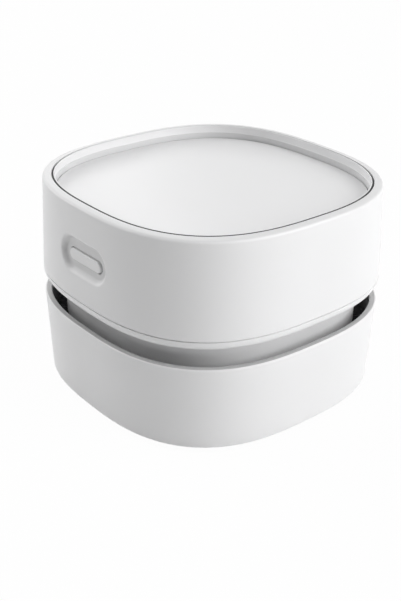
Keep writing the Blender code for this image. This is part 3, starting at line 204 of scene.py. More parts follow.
def square_round_tree():
    """Geometry Nodes that carry a profile, drawn as points of (half width, height), round a square-round outline."""
    tree = bpy.data.node_groups.new("square_round_sweep", "GeometryNodeTree")
    sockets = tree.interface
    sockets.new_socket(name="Profile", in_out="INPUT", socket_type="NodeSocketGeometry")
    columns = sockets.new_socket(name="Columns", in_out="INPUT", socket_type="NodeSocketInt")
    columns.default_value = 240
    power = sockets.new_socket(name="Squareness", in_out="INPUT", socket_type="NodeSocketFloat")
    power.default_value = 2.73
    sockets.new_socket(name="Finish", in_out="INPUT", socket_type="NodeSocketMaterial")
    sockets.new_socket(name="Shell", in_out="OUTPUT", socket_type="NodeSocketGeometry")
    nodes, links = tree.nodes, tree.links
    given, result = nodes.new("NodeGroupInput"), nodes.new("NodeGroupOutput")

    worked = maths(nodes, links)
    count = nodes.new("GeometryNodeAttributeDomainSize")
    links.new(given.outputs["Profile"], count.inputs["Geometry"])
    rows = count.outputs["Point Count"]
    grid = nodes.new("GeometryNodeMeshGrid")
    links.new(worked("ADD", given.outputs["Columns"], 1.0), grid.inputs["Vertices X"])
    links.new(rows, grid.inputs["Vertices Y"])
    index = nodes.new("GeometryNodeInputIndex").outputs[0]
    row = worked("MODULO", index, rows)
    column = worked("FLOOR", worked("DIVIDE", index, rows))
    at = nodes.new("GeometryNodeSampleIndex")
    at.data_type = "FLOAT_VECTOR"
    links.new(given.outputs["Profile"], at.inputs["Geometry"])
    links.new(nodes.new("GeometryNodeInputPosition").outputs[0], at.inputs["Value"])
    links.new(row, at.inputs["Index"])
    drawn = nodes.new("ShaderNodeSeparateXYZ")
    links.new(at.outputs["Value"], drawn.inputs[0])
    angle = worked("MULTIPLY", column, worked("DIVIDE", math.tau, given.outputs["Columns"]))
    across, along = worked("COSINE", angle), worked("SINE", angle)
    total = worked("ADD", worked("POWER", worked("ABSOLUTE", across), given.outputs["Squareness"]),
                   worked("POWER", worked("ABSOLUTE", along), given.outputs["Squareness"]))
    reach = worked("POWER", total, worked("DIVIDE", -1.0, given.outputs["Squareness"]))
    out = worked("MULTIPLY", reach, drawn.outputs["X"])
    spot = nodes.new("ShaderNodeCombineXYZ")
    links.new(worked("MULTIPLY", out, across), spot.inputs["X"])
    links.new(worked("MULTIPLY", out, along), spot.inputs["Y"])
    links.new(drawn.outputs["Z"], spot.inputs["Z"])
    moved = nodes.new("GeometryNodeSetPosition")
    links.new(grid.outputs["Mesh"], moved.inputs["Geometry"])
    links.new(spot.outputs[0], moved.inputs["Position"])
    joined = nodes.new("GeometryNodeMergeByDistance")
    joined.inputs["Distance"].default_value = 0.002 * MM
    links.new(moved.outputs[0], joined.inputs["Geometry"])
    realised = nodes.new("GeometryNodeRealizeInstances")
    links.new(joined.outputs[0], realised.inputs["Geometry"])
    finish = nodes.new("GeometryNodeSetMaterial")
    links.new(realised.outputs[0], finish.inputs["Geometry"])
    links.new(given.outputs["Finish"], finish.inputs["Material"])
    links.new(finish.outputs[0], result.inputs["Shell"])
    return tree


SQUARE_ROUND = square_round_tree()


def set_inputs(modifier, values):
    for item in modifier.node_group.interface.items_tree:
        if item.item_type == "SOCKET" and item.in_out == "INPUT" and item.name in values:
            modifier[item.identifier] = values[item.name]


def made_plain(item, sharp=35.0):
    """Turns the result of the modifiers into the object's own mesh, with its faces pointing outwards."""
    ready = item.evaluated_get(bpy.context.evaluated_depsgraph_get())
    mesh = bpy.data.meshes.new_from_object(ready)
    item.modifiers.clear()
    item.data = mesh
    tidy = bmesh.new()
    tidy.from_mesh(mesh)
    bmesh.ops.recalc_face_normals(tidy, faces=tidy.faces[:])
    tidy.to_mesh(mesh)
    tidy.free()
    used = [material for material in mesh.materials if material]
    mesh.polygons.foreach_set("material_index", [0] * len(mesh.polygons))
    mesh.materials.clear()
    mesh.materials.append(used[0])
    mesh.shade_smooth()
    mesh.set_sharp_from_angle(angle=math.radians(sharp))
    return item


def swept_shell(name, profile, finish, columns=240, squareness=2.73, closed=True):
    """A shell from a profile in millimetres, carried round the square-round outline."""
    drawn = list(profile) + ([profile[0]] if closed else [])
    mesh = bpy.data.meshes.new(name)
    mesh.from_pydata([(half * MM, 0.0, z * MM) for half, z in drawn], [], [])
    item = bpy.data.objects.new(name, mesh)
    bpy.context.scene.collection.objects.link(item)
    sweep = item.modifiers.new("sweep", "NODES")
    sweep.node_group = SQUARE_ROUND
    set_inputs(sweep, {"Columns": columns, "Squareness": squareness, "Finish": finish})
    return made_plain(item)


def arc(half, z, radius, start, end, steps=5):
    """Points of a rounded edge, from one angle to another in degrees, 0 outwards and 90 up."""
    turns = [math.radians(start + (end - start) * step / steps) for step in range(steps + 1)]
    return [(half + radius * math.cos(turn), z + radius * math.sin(turn)) for turn in turns]


foot_z, foot_half, rim_z, rim_half = 1.2, 40.6, 24.4, 41.6
ledge_z, rim_wall, base_wall = 16.9, 1.6, 1.3


def base_outer(z):
    return foot_half + (rim_half - foot_half) * (z - foot_z) / (rim_z - foot_z)


WHITE = (0.86, 0.86, 0.865)
white_plastic = moulded("white_moulded_plastic", WHITE, 0.36)
base_profile = (
    [(base_outer(foot_z) - base_wall, foot_z)] + arc(base_outer(2.2) - 0.6, 1.8, 0.6, -90.0, -3.0)
    + [(base_outer(z), z) for z in (6.0, 12.0, 18.0)]
    + arc(base_outer(rim_z) - 0.5, rim_z - 0.5, 0.5, 3.0, 90.0, 7)
    + arc(base_outer(rim_z) - rim_wall + 0.15, rim_z - 0.15, 0.15, 90.0, 180.0)
    + [(base_outer(rim_z) - rim_wall, rim_z - 1.0), (base_outer(23.0) - base_wall, 23.0),
       (base_outer(ledge_z) - base_wall, ledge_z), (38.8, ledge_z), (38.8, ledge_z - 1.0),
       (base_outer(ledge_z - 2.3) - base_wall, ledge_z - 2.3),
       (base_outer(7.0) - base_wall, 7.0), (35.1, 7.0), (35.1, 5.5), (base_outer(5.5) - base_wall, 5.5)]
)
# The flat top of the rim is painted darker: painted shade from the head that overhangs it.
base_white_with_painted_shade = with_painted_shade(
    "white_base_plastic_with_painted_shade", WHITE, 0.36,
    [(lambda nodes, links, place: ramp(nodes, links, place.outputs["Z"], rim_z - 0.08, rim_z - 0.01),
      (0.62, 0.62, 0.62))])
base_skin = swept_shell("base_skin", base_profile, base_white_with_painted_shade)
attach(base_skin, "base")
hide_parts("base_shell")


# Neck. The fan housing seen in the open gap, in a greyer white plastic than the shells.
# It is one moulding: a wall with twelve outlet slots, a flange above and a ceiling that carries the motor.
def box_cutter(name, boxes):
    """One mesh of several boxes, each given by two opposite corners in millimetres."""
    build = bmesh.new()
    for low, high in boxes:
        spots = [build.verts.new([(low, high)[(number >> axis) & 1][axis] * MM for axis in range(3)])
                 for number in range(8)]
        for face in ((0, 2, 3, 1), (4, 5, 7, 6), (0, 1, 5, 4), (2, 6, 7, 3), (0, 4, 6, 2), (1, 3, 7, 5)):
            build.faces.new([spots[corner] for corner in face])
    mesh = bpy.data.meshes.new(name)
    build.to_mesh(mesh)
    build.free()
    item = bpy.data.objects.new(name, mesh)
    bpy.context.scene.collection.objects.link(item)
    return item


def cut(item, tool):
    bite = item.modifiers.new("cut", "BOOLEAN")
    bite.operation = "DIFFERENCE"
    bite.solver = "EXACT"
    bite.object = tool
    made_plain(item)
    bpy.data.objects.remove(tool)


grey_white = moulded("grey_white_plastic", (0.90, 0.90, 0.905), 0.42)
neck_half, neck_foot_half, ceiling_z = 36.35, 35.25, 26.0
neck_profile = [
    (neck_foot_half, 14.0), (neck_foot_half + 0.1, 17.0), (neck_half, 18.3), (neck_half, 20.5),
    (neck_half, 25.0), (neck_half, 28.0), (neck_half, 32.4), (37.4, 32.4), (37.4, 33.8), (34.6, 33.8),
    (34.4, ceiling_z + 1.6), (4.0, ceiling_z + 1.6), (4.0, ceiling_z), (34.3, ceiling_z), (33.8, 14.0),
]
neck_skin = swept_shell("neck_skin", neck_profile, grey_white)
outlets = []
outlet_low, outlet_top = 14.6, 16.7
for middle in (-12.0, 0.0, 12.0):
    for near, far in ((30.5, 36.9), (-36.9, -30.5)):
        outlets.append(((middle - 4.5, near, outlet_low), (middle + 4.5, far, outlet_top)))
        outlets.append(((near, middle - 4.5, outlet_low), (far, middle + 4.5, outlet_top)))
cut(neck_skin, box_cutter("outlets", outlets))
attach(neck_skin, "head")
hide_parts("neck_housing")


# Exhaust ring. A black ring of close slats that the air leaves through, seated on the ledge of the base.
# Its outer edge stands up as a lip that lines the wall of the base, so that all seen past the neck is black.
def slat_tree():
    """Geometry Nodes that stand a number of equal slats round a square-round outline, each pointing to the middle."""
    tree = bpy.data.node_groups.new("slats_round_outline", "GeometryNodeTree")
    sockets = tree.interface
    for name, kind, value in (("Count", "NodeSocketInt", 160), ("Half Width", "NodeSocketFloat", 0.0385),
                              ("Height", "NodeSocketFloat", 0.02), ("Squareness", "NodeSocketFloat", 2.73),
                              ("Slat Size", "NodeSocketVector", (0.003, 0.0008, 0.0008))):
        socket = sockets.new_socket(name=name, in_out="INPUT", socket_type=kind)
        socket.default_value = value
    sockets.new_socket(name="Finish", in_out="INPUT", socket_type="NodeSocketMaterial")
    sockets.new_socket(name="Slats", in_out="OUTPUT", socket_type="NodeSocketGeometry")
    nodes, links = tree.nodes, tree.links
    given, result = nodes.new("NodeGroupInput"), nodes.new("NodeGroupOutput")
    worked = maths(nodes, links)
    spots = nodes.new("GeometryNodePoints")
    links.new(given.outputs["Count"], spots.inputs["Count"])
    number = nodes.new("GeometryNodeInputIndex").outputs[0]
    angle = worked("MULTIPLY", number, worked("DIVIDE", math.tau, given.outputs["Count"]))
    across, along = worked("COSINE", angle), worked("SINE", angle)
    total = worked("ADD", worked("POWER", worked("ABSOLUTE", across), given.outputs["Squareness"]),
                   worked("POWER", worked("ABSOLUTE", along), given.outputs["Squareness"]))
    reach = worked("MULTIPLY", given.outputs["Half Width"],
                   worked("POWER", total, worked("DIVIDE", -1.0, given.outputs["Squareness"])))
    spot = nodes.new("ShaderNodeCombineXYZ")
    links.new(worked("MULTIPLY", reach, across), spot.inputs["X"])
    links.new(worked("MULTIPLY", reach, along), spot.inputs["Y"])
    links.new(given.outputs["Height"], spot.inputs["Z"])
    links.new(spot.outputs[0], spots.inputs["Position"])
    slat = nodes.new("GeometryNodeMeshCube")
    links.new(given.outputs["Slat Size"], slat.inputs["Size"])
    turn = nodes.new("ShaderNodeCombineXYZ")
    links.new(angle, turn.inputs["Z"])
    put = nodes.new("GeometryNodeInstanceOnPoints")
    links.new(spots.outputs[0], put.inputs["Points"])
    links.new(slat.outputs["Mesh"], put.inputs["Instance"])
    links.new(turn.outputs[0], put.inputs["Rotation"])
    realised = nodes.new("GeometryNodeRealizeInstances")
    links.new(put.outputs[0], realised.inputs["Geometry"])
    finish = nodes.new("GeometryNodeSetMaterial")
    links.new(realised.outputs[0], finish.inputs["Geometry"])
    links.new(given.outputs["Finish"], finish.inputs["Material"])
    links.new(finish.outputs[0], result.inputs["Slats"])
    return tree


def joined(pieces, name):
    """Joins pieces that are moulded or fitted as one, and keeps their meshes where they are."""
    build = bmesh.new()
    for piece in pieces:
        build.from_mesh(piece.data)
    mesh = bpy.data.meshes.new(name)
    build.to_mesh(mesh)
    build.free()
    mesh.materials.append(pieces[0].data.materials[0])
    mesh.shade_smooth()
    mesh.set_sharp_from_angle(angle=math.radians(35.0))
    for piece in pieces:
        bpy.data.objects.remove(piece)
    item = bpy.data.objects.new(name, mesh)
    bpy.context.scene.collection.objects.link(item)
    return item


black_plastic = moulded("black_plastic", (0.045, 0.045, 0.047), 0.75, specular=0.2)
ring_inner, ring_outer, ring_z, ring_top, lip_top = 36.0, 39.66, 17.1, 18.1, 23.2
ring_edge = swept_shell("ring_edge", [
    (ring_outer - 0.9, ring_z), (ring_outer, ring_z), (ring_outer + 0.25, lip_top - 0.1), (ring_outer + 0.2, lip_top),
    (ring_outer - 0.05, lip_top), (ring_outer - 0.15, lip_top - 0.15), (ring_outer - 0.4, ring_top),
    (ring_outer - 0.9, ring_top)], black_plastic)
ring_hub = swept_shell("ring_hub", [(ring_inner, ring_z), (ring_inner + 0.4, ring_z), (ring_inner + 0.4, ring_top),
                                    (ring_inner, ring_top)], black_plastic)
slats = bpy.data.objects.new("slats", bpy.data.meshes.new("slats"))
bpy.context.scene.collection.objects.link(slats)
row = slats.modifiers.new("row", "NODES")
row.node_group = slat_tree()
set_inputs(row, {"Count": 220, "Half Width": (ring_inner + ring_outer - 0.5) / 2.0 * MM, "Height": (ring_z + 0.5) * MM,
                 "Slat Size": (2.6 * MM, 0.7 * MM, 0.8 * MM), "Finish": black_plastic})
exhaust_ring = joined([ring_edge, ring_hub, made_plain(slats)], "exhaust_ring_skin")
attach(exhaust_ring, "base")
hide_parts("exhaust_ring")


# Lower cover. The rounded lower edge of the head, moulded in the same white and parted from it by a fine seam.
cover_edge_half, seam_half = 40.6, 41.7
cover_profile = (
    [(cover_edge_half + 1.1 * math.sin(math.radians(90.0 * step / 8)),
      29.7 + 2.1 * (1.0 - math.cos(math.radians(90.0 * step / 8)))) for step in range(9)]
    + [(seam_half - 0.12, 31.86), (39.6, 31.86), (39.6, 33.8), (38.2, 33.8), (38.2, 32.1), (36.5, 32.1), (36.5, 29.7)]
)
cover_skin = swept_shell("lower_cover_skin", cover_profile, white_plastic)
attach(cover_skin, "head")
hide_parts("lower_cover")


# Head shell. The upper housing in white plastic, with a rounded rim and a soft pill-shaped dish for the button.
# The dish is pressed into the wall here, and the button's own opening is cut through its floor.
head_foot_z, head_foot_half, head_top_z, head_top_half = 31.9, 41.7, 57.5, 40.66
BUTTON_HEIGHT_Z, SOCKET_HEIGHT_Z = 43.5, 39.2


def head_outer(z):
    return head_foot_half + (head_top_half - head_foot_half) * (z - head_foot_z) / (head_top_z - head_foot_z)


dish_middle_z, dish_half_core, dish_radius, dish_depth = 43.9, 4.8, 5.0, 1.25
shelf_z, rim_inner = 51.1, 38.48


def pill_outline(length, height, y, z=BUTTON_HEIGHT_Z, steps=24):
    radius = height / 2.0
    core = length / 2.0 - radius
    points = []
    for step in range(2 * steps + 2):
        side = 1.0 if step <= steps else -1.0
        turn = math.pi * (step - (step > steps)) / steps - math.pi / 2.0
        points.append(Vector((side * core + radius * math.cos(turn), y,
                              z + radius * math.sin(turn))) * MM)
    return points


def pill_body(name, steps, finish):
    """A body through pill outlines given as (length, height, y), closed at both ends."""
    build = bmesh.new()
    rows = [[build.verts.new(point) for point in pill_outline(*step)] for step in steps]
    build.faces.new(rows[0])
    build.faces.new(rows[-1])
    for near, far in zip(rows, rows[1:]):
        for index in range(len(near)):
            after = (index + 1) % len(near)
            build.faces.new((near[index], near[after], far[after], far[index]))
    bmesh.ops.recalc_face_normals(build, faces=build.faces[:])
    mesh = bpy.data.meshes.new(name)
    build.to_mesh(mesh)
    build.free()
    mesh.materials.append(finish)
    item = bpy.data.objects.new(name, mesh)
    bpy.context.scene.collection.objects.link(item)
    return item


def press_dish(mesh):
    """Moves the outer face of the wall inwards inside the pill outline, with a soft lip and a soft foot."""
    lip, slope_width, inner_face = 0.15, 1.5, -40.0
    for vert in mesh.vertices:
        x, y, z = (value / MM for value in vert.co)
        if y > inner_face:
            continue
        from_core = math.hypot(max(abs(x) - dish_half_core, 0.0), z - dish_middle_z)
        share = min(max((dish_radius + lip - from_core) / slope_width, 0.0), 1.0)
        vert.co.y += dish_depth * MM * share * share * (3.0 - 2.0 * share)


wall_rows = [33.4, 35.0, 36.6, 38.0] + [38.3 + 0.25 * step for step in range(46)] + [50.2, 52.0, 54.0]
head_profile = (
    [(head_outer(32.05) - 1.8, 32.05), (head_outer(32.05) - 0.1, 32.05), (head_outer(32.15), 32.15)]
    + [(head_outer(z), z) for z in wall_rows]
    + arc(head_outer(56.4) - 0.95, 56.4, 0.95, 2.0, 80.0, 10) + [(39.2, 57.44)]
    + arc(rim_inner + 0.15, 57.35, 0.15, 88.0, 180.0, 4)
    + [(rim_inner, shelf_z), (35.1, shelf_z), (35.1, 49.8), (head_outer(48.0) - 2.1, 49.8),
       (head_outer(48.0) - 1.8, 48.0)]
)


def dish_painted_shade(nodes, links, place):
    """1 inside the pill-shaped dish on the front wall, 0 outside it; it marks the painted shade of the dish floor."""
    worked = maths(nodes, links)
    sideways = worked("MAXIMUM", worked("SUBTRACT", worked("ABSOLUTE", place.outputs["X"], 0.0),
                                        dish_half_core * MM), 0.0)
    upwards = worked("SUBTRACT", place.outputs["Z"], dish_middle_z * MM)
    distance = worked("SQRT", worked("ADD", worked("POWER", sideways, 2.0),
                                     worked("MULTIPLY", upwards, upwards)), 0.0)
    inside = worked("SUBTRACT", 1.0, ramp(nodes, links, distance, dish_radius - 0.9, dish_radius - 0.2))
    return worked("MULTIPLY", inside, worked("LESS_THAN", place.outputs["Y"], -30.0 * MM))


# Painted shade on the rounded top of the rim, a little darker than the wall.
def rim_top_painted_shade(nodes, links, place):
    return ramp(nodes, links, place.outputs["Z"], 56.9, 57.3)


# The head's white carries painted shade: darker in the dish and on the rounded top of the rim.
head_white_with_painted_shade = with_painted_shade("white_head_plastic_with_painted_shade", WHITE, 0.36,
                        [(dish_painted_shade, (0.84, 0.84, 0.84)), (rim_top_painted_shade, (0.86, 0.86, 0.86))])
head_skin = swept_shell("head_skin", head_profile, head_white_with_painted_shade, columns=720)
press_dish(head_skin.data)
opening = pill_body("button_opening", [(14.2, 3.6, -43.0), (14.2, 3.6, -38.0)], white_plastic)
cut(head_skin, opening)
socket_opening = pill_body("socket_opening", [(9.6, 3.8, y, SOCKET_HEIGHT_Z) for y in (36.0, 44.0)], white_plastic)
cut(head_skin, socket_opening)
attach(head_skin, "head")
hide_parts("head_shell")


# Power button. A white pill with a flat face and rounded edges, standing in the dish and held by a flange inside.
wall_y = -head_outer(BUTTON_HEIGHT_Z)
button_face, button_flange = wall_y + 0.85, wall_y + 2.1
button_length, button_height, edge = 13.4, 3.1, 0.25
button_steps = [(button_length - 3.0, 0.6, button_face - 0.03), (button_length - 1.0, 2.1, button_face - 0.02)]
for step in range(7):
    turn = math.radians(90.0 * step / 6)
    inset = 2.0 * edge * (1.0 - math.sin(turn))
    button_steps.append((button_length - inset, button_height - inset, button_face + edge * (1.0 - math.cos(turn))))
button_steps += [
    (button_length, button_height, button_flange), (16.4, 5.8, button_flange), (16.4, 5.8, button_flange + 1.0),
    (3.1, 3.0, button_flange + 1.0), (3.1, 3.0, button_flange + 2.7),
]
button_skin = made_plain(pill_body("button_skin", button_steps, white_plastic))
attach(button_skin, "button")
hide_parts("power_button")


# Rim frame and its dark line. A light frame stands inside the rim in two bands and holds the top panel down.
# The line between rim and frame is a thin black rubber seal, seen only where its top faces the eye; its black is also
# painted shade for the seam gap.
line_outer, line_inner = 38.44, 38.03
dark_rubber = moulded("dark_rubber", (0.03, 0.03, 0.032), 0.7)
seal_profile = [(line_outer, 55.9), (line_outer, 57.0), (line_inner + 0.1, 57.42), (line_inner, 57.46),
                (line_inner, 55.9)]
seal_and_gap_shade = swept_shell("rim_line", seal_profile, dark_rubber)
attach(seal_and_gap_shade, "head")
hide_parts("rim_seal")

frame_outer, frame_wall, band_step, band_z = 38.01, 0.28, 0.1, 55.5
frame_foot, panel_top = 51.4, 53.8
lower_half = frame_outer - frame_wall - band_step
frame_profile = (
    [(frame_outer, frame_foot)] + arc(frame_outer - 0.06, 57.44, 0.06, 0.0, 90.0, 3)
    + arc(frame_outer - frame_wall + 0.1, 57.4, 0.1, 90.0, 180.0, 3)
    + [(frame_outer - frame_wall, band_z + 0.1), (frame_outer - frame_wall - 0.04, band_z),
       (lower_half, band_z - 0.04), (lower_half, band_z - 0.2), (lower_half, frame_foot + 1.1),
       (lower_half - 2.2, frame_foot + 1.1), (lower_half - 2.2, frame_foot)]
)
# The frame's lower band is painted a little darker: painted shade deep in the recess, next to the panel.
frame_white_with_painted_shade = with_painted_shade(
    "white_frame_plastic_with_painted_shade", (0.82, 0.82, 0.825), 0.36,
    [(lambda nodes, links, place: ramp(nodes, links, place.outputs["Z"], band_z + 0.02, band_z - 0.04),
      (0.84, 0.84, 0.84))])
rim_frame = swept_shell("rim_frame", frame_profile, frame_white_with_painted_shade)
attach(rim_frame, "head")
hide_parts("top_bezel")


# Top panel. A flat glossy plate, faintly grey, that lies in the frame below the rim.
panel_half = lower_half - 0.2
panel_gloss = moulded("gloss_panel", (0.80, 0.80, 0.805), 0.3, grain_depth=0.0005, gloss=0.03)
panel_profile = (
    [(0.0, panel_top - 1.0), (panel_half * 0.5, panel_top - 1.0), (panel_half, panel_top - 1.0)]
    + arc(panel_half - 0.1, panel_top - 0.1, 0.1, 0.0, 90.0, 3) + [(panel_half * 0.5, panel_top), (0.0, panel_top)]
)
panel_skin = swept_shell("top_panel_skin", panel_profile, panel_gloss, closed=False)
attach(panel_skin, "head")
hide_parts("top_panel")


# Carried pieces. The rest keep the shape they have in the frame, with their edges rounded as the real ones are.
# Moulded plastic is white, dark or grey-white; boards, cell, steel and cloth each have their own surface.
def softened(node, edge, finish, body):
    """A merged copy of a piece with small rounded edges, riding where the piece rides."""
    mesh = frame["nodes"][node].data.copy()
    build = bmesh.new()
    build.from_mesh(mesh)
    bmesh.ops.remove_doubles(build, verts=build.verts[:], dist=0.001 * MM)
    bmesh.ops.dissolve_limit(build, angle_limit=math.radians(2.0), verts=build.verts[:], edges=build.edges[:])
    build.to_mesh(mesh)
    build.free()
    mesh.materials.clear()
    mesh.materials.append(finish)
    item = bpy.data.objects.new(node + "_skin", mesh)
    bpy.context.scene.collection.objects.link(item)
    rounding = item.modifiers.new("rounding", "BEVEL")
    rounding.width = edge * MM
    rounding.segments = 2
    rounding.limit_method = "ANGLE"
    rounding.angle_limit = math.radians(40.0)
    made_plain(item)
    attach(item, body)
    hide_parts(node)
    return item


def patterned(material, texture, scale, depth, stretch=(1.0, 1.0, 1.0)):
    """Adds a second, coarser relief to a material: the weave of a cloth or the marks of a tool."""
    nodes, links = material.node_tree.nodes, material.node_tree.links
    place = nodes.new("ShaderNodeTexCoord")
    spread = nodes.new("ShaderNodeVectorMath")
    spread.operation = "MULTIPLY"
    spread.inputs[1].default_value = stretch
    links.new(place.outputs["Object"], spread.inputs[0])
    pattern = nodes.new(texture)
    pattern.inputs["Scale"].default_value = scale
    links.new(spread.outputs[0], pattern.inputs["Vector"])
    relief = nodes.new("ShaderNodeBump")
    relief.inputs["Distance"].default_value = depth * MM
    shader = nodes["Principled BSDF"]
    links.new(pattern.outputs[0], relief.inputs["Height"])
    links.new(shader.inputs["Normal"].links[0].from_socket, relief.inputs["Normal"])
    links.new(relief.outputs["Normal"], shader.inputs["Normal"])
    return material


steel = moulded("turned_steel", (0.6, 0.6, 0.62), 0.3, grain_scale=2600.0, grain_depth=0.002, tone=0.06, gloss=0.2)
steel.node_tree.nodes["Principled BSDF"].inputs["Metallic"].default_value = 1.0
patterned(steel, "ShaderNodeTexNoise", 900.0, 0.003, (1.0, 1.0, 14.0))
dark_plastic = moulded("dark_plastic", (0.16, 0.16, 0.17), 0.45, tone=0.06)
board_green = patterned(moulded("circuit_board", (0.03, 0.20, 0.09), 0.45, tone=0.2),
                        "ShaderNodeTexVoronoi", 900.0, 0.02)
sleeve_blue = moulded("battery_sleeve", (0.05, 0.22, 0.55), 0.35, grain_scale=700.0, grain_depth=0.02, tone=0.1)
filter_cloth = patterned(moulded("filter_cloth", (0.80, 0.80, 0.78), 0.9, grain_scale=3000.0, grain_depth=0.05,
                                 tone=0.12), "ShaderNodeTexVoronoi", 1500.0, 0.08)
brush_nylon = moulded("brush_nylon", (0.10, 0.10, 0.11), 0.6, tone=0.2)
finishes = {"white_shell": white_plastic, "gloss_panel": panel_gloss, "grey_white_plastic": grey_white,
            "black_plastic": black_plastic, "dark_rubber": dark_rubber, "brush_nylon": brush_nylon, "steel": steel,
            "dark_plastic": dark_plastic, "circuit_board": board_green, "battery_sleeve": sleeve_blue,
            "filter_cloth": filter_cloth}
for part in frame["record"]["subparts"]:
    data = frame["nodes"][part["node"]].data
    data.materials.clear()
    data.materials.append(finishes[part["material_slot"]])


# Brushes. Four strips of black nylon bristles round the suction mouth, each set in a moulded bar.
# The bristles stand in rows, a little uneven, and end just above the desk.
def bristle_tree():
    """Geometry Nodes that stand fine bristles in rows under a bar, each leaning a little its own way."""
    tree = bpy.data.node_groups.new("bristle_rows", "GeometryNodeTree")
    sockets = tree.interface
    for name, kind, value in (("Length", "NodeSocketFloat", 0.032), ("Width", "NodeSocketFloat", 0.0016),
                              ("Count Along", "NodeSocketInt", 96), ("Count Across", "NodeSocketInt", 5),
                              ("Bristle Length", "NodeSocketFloat", 0.0024), ("Seed", "NodeSocketInt", 3)):
        socket = sockets.new_socket(name=name, in_out="INPUT", socket_type=kind)
        socket.default_value = value
    sockets.new_socket(name="Place", in_out="INPUT", socket_type="NodeSocketVector")
    sockets.new_socket(name="Finish", in_out="INPUT", socket_type="NodeSocketMaterial")
    sockets.new_socket(name="Bristles", in_out="OUTPUT", socket_type="NodeSocketGeometry")
    nodes, links = tree.nodes, tree.links
    given, result = nodes.new("NodeGroupInput"), nodes.new("NodeGroupOutput")
    rows = nodes.new("GeometryNodeMeshGrid")
    for source, target in (("Length", "Size X"), ("Width", "Size Y"), ("Count Along", "Vertices X"),
                           ("Count Across", "Vertices Y")):
        links.new(given.outputs[source], rows.inputs[target])
    bristle = nodes.new("GeometryNodeMeshCone")
    bristle.inputs["Vertices"].default_value = 5
    bristle.inputs["Radius Top"].default_value = 0.09 * MM
    bristle.inputs["Radius Bottom"].default_value = 0.07 * MM
    links.new(given.outputs["Bristle Length"], bristle.inputs["Depth"])
    lean = nodes.new("FunctionNodeRandomValue")
    lean.data_type = "FLOAT_VECTOR"
    lean.inputs["Min"].default_value = (-0.06, -0.06, 0.0)
    lean.inputs["Max"].default_value = (0.06, 0.06, 1.0)
    links.new(given.outputs["Seed"], lean.inputs["Seed"])
    put = nodes.new("GeometryNodeInstanceOnPoints")
    links.new(rows.outputs["Mesh"], put.inputs["Points"])
    links.new(bristle.outputs["Mesh"], put.inputs["Instance"])
    links.new(lean.outputs["Value"], put.inputs["Rotation"])
    moved = nodes.new("GeometryNodeTransform")
    links.new(put.outputs[0], moved.inputs["Geometry"])
    links.new(given.outputs["Place"], moved.inputs["Translation"])
    realised = nodes.new("GeometryNodeRealizeInstances")
    links.new(moved.outputs[0], realised.inputs["Geometry"])
    finish = nodes.new("GeometryNodeSetMaterial")
    links.new(realised.outputs[0], finish.inputs["Geometry"])
    links.new(given.outputs["Finish"], finish.inputs["Material"])
    links.new(finish.outputs[0], result.inputs["Bristles"])
    return tree


BRISTLES = bristle_tree()
for seed, node in enumerate(("brush_front", "brush_back", "brush_left", "brush_right")):
    low, high = (Vector(corner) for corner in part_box(node))
    span, middle = high - low, (low + high) / 2.0
    bar_foot = high.z - 1.0 * MM
    lengthwise = span.x > span.y
    bristles = bpy.data.objects.new(node + "_bristles", bpy.data.meshes.new(node + "_bristles"))
    bpy.context.scene.collection.objects.link(bristles)
    rows = bristles.modifiers.new("rows", "NODES")
    rows.node_group = BRISTLES
    depth = bar_foot - low.z + 0.1 * MM
    set_inputs(rows, {
        "Length": span.x - 0.6 * MM, "Width": span.y - 0.6 * MM, "Bristle Length": depth, "Seed": seed,
        "Count Along": int(span.x / MM * 3.0) if lengthwise else 5,
        "Count Across": 5 if lengthwise else int(span.y / MM * 3.0),
        "Place": (middle.x, middle.y, low.z + 0.05 * MM), "Finish": brush_nylon})
    bar = box_cutter(node + "_bar", [((low.x / MM, low.y / MM, bar_foot / MM), tuple(high / MM))])
    bar.data.materials.append(brush_nylon)
    rounding = bar.modifiers.new("rounding", "BEVEL")
    rounding.width = 0.3 * MM
    rounding.segments = 3
    brush = joined([made_plain(bar), made_plain(bristles)], node + "_skin")
    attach(brush, "base")
    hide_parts(node)


# Underside. The bottom plate with its suction mouth and dust cup wall, in white plastic, and four rubber feet.
# The screws beside the feet keep the shape they have in the frame.
for node, edge, finish, slot in (
        [("bottom_plate", 0.3, white_plastic, "white_shell")]
        + [("foot_" + side, 0.4, dark_rubber, "dark_rubber")
           for side in ("front_left", "front_right", "back_left", "back_right")]):
    softened(node, edge, finish, "base")


# Filter. A dark frame that clips in under the neck and carries a pad of pale woven cloth.
for node, edge, finish, slot in (("filter_frame", 0.25, dark_plastic, "dark_plastic"),
                                 ("filter_pad", 0.15, filter_cloth, "filter_cloth")):
    softened(node, edge, finish, "filter")


# Fan and motor. The fan's blades and hub are one dark moulding; the motor is a turned steel can with a plastic cap.
softened("impeller", 0.12, dark_plastic, "rotor")
for node, edge, finish, slot in (("motor_can", 0.5, steel, "steel"),
                                 ("motor_end_cap", 0.3, dark_plastic, "dark_plastic"),
                                 ("motor_damper", 0.3, dark_rubber, "dark_rubber"),
                                 ("intake_plate", 0.2, grey_white, "grey_white_plastic")):
    softened(node, edge, finish, "head")


# Cell and its cradle. A round lithium cell in a blue shrink sleeve, held in a dark moulded cradle.
for node, edge, finish, slot in (("battery_cell", 0.5, sleeve_blue, "battery_sleeve"),
                                 ("battery_cradle", 0.2, dark_plastic, "dark_plastic")):
    softened(node, edge, finish, "head")


# Floor and light. A plain white floor, a white room and four soft lamps, the strongest on the right.
def seen_or_mirrored(nodes, links):
    """1 for what the camera sees straight, in a mirror or through glass, 0 for the light that falls on things."""
    path = nodes.new("ShaderNodeLightPath")
    total = path.outputs["Is Camera Ray"]
    for name in ("Is Glossy Ray", "Is Transmission Ray"):
        either = nodes.new("ShaderNodeMath")
        either.operation = "MAXIMUM"
        links.new(total, either.inputs[0])
        links.new(path.outputs[name], either.inputs[1])
        total = either.outputs[0]
    return total


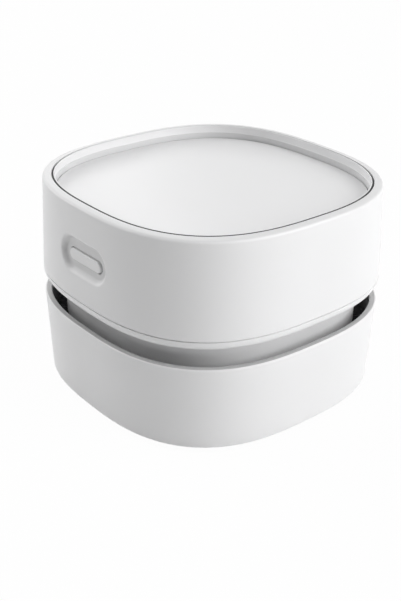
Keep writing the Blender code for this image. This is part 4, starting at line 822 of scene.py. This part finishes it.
floor_mesh = bpy.data.meshes.new("floor")
floor_mesh.from_pydata([(-3, -3, 0), (3, -3, 0), (3, 3, 0), (-3, 3, 0)], [], [(0, 1, 2, 3)])
floor = bpy.data.objects.new("floor", floor_mesh)
bpy.context.scene.collection.objects.link(floor)
floor_paint = bpy.data.materials.new("floor")
floor_paint.use_nodes = True
nodes, links = floor_paint.node_tree.nodes, floor_paint.node_tree.links
paint = nodes["Principled BSDF"]
paint.inputs["Base Color"].default_value = (0.8, 0.8, 0.8, 1.0)
paint.inputs["Roughness"].default_value = 0.9
glow = nodes.new("ShaderNodeEmission")
share = nodes.new("ShaderNodeMath")
share.operation = "MULTIPLY"
share.inputs[1].default_value = 0.97
blend = nodes.new("ShaderNodeMixShader")
links.new(seen_or_mirrored(nodes, links), share.inputs[0])
links.new(share.outputs[0], blend.inputs[0])
links.new(paint.outputs[0], blend.inputs[1])
links.new(glow.outputs[0], blend.inputs[2])
links.new(blend.outputs[0], nodes["Material Output"].inputs["Surface"])
floor_mesh.materials.append(floor_paint)

room = bpy.data.worlds.new("room")
room.use_nodes = True
nodes, links = room.node_tree.nodes, room.node_tree.links
back = nodes["Background"]
back.inputs["Color"].default_value = (1.0, 1.0, 1.0, 1.0)
back.inputs["Strength"].default_value = 0.02
sky = nodes.new("ShaderNodeBackground")
sky.inputs["Color"].default_value = (1.0, 1.0, 1.0, 1.0)
sky.inputs["Strength"].default_value = 1.0
blend = nodes.new("ShaderNodeMixShader")
links.new(seen_or_mirrored(nodes, links), blend.inputs[0])
links.new(back.outputs[0], blend.inputs[1])
links.new(sky.outputs[0], blend.inputs[2])
links.new(blend.outputs[0], nodes["World Output"].inputs["Surface"])
bpy.context.scene.world = room


def soft_lamp(name, around, above, strength, distance=1.2, size=1.1):
    """A square soft lamp that looks at the object. Around is measured from +X towards +Y."""
    lamp = bpy.data.lights.new(name, "AREA")
    lamp.shape = "SQUARE"
    lamp.size = size
    lamp.energy = strength
    item = bpy.data.objects.new(name, lamp)
    around, above = math.radians(around), math.radians(above)
    way = Vector((math.cos(around) * math.cos(above), math.sin(around) * math.cos(above), math.sin(above)))
    item.matrix_world = Matrix.Translation(way * distance) @ way.to_track_quat("Z", "Y").to_matrix().to_4x4()
    bpy.context.scene.collection.objects.link(item)


soft_lamp("key", 25.0, 32.0, 13.8)
soft_lamp("left_back", 170.0, 32.0, 3.7)
soft_lamp("left_front", -145.0, 32.0, 7.4)
soft_lamp("overhead", 100.0, 80.0, 3.2)
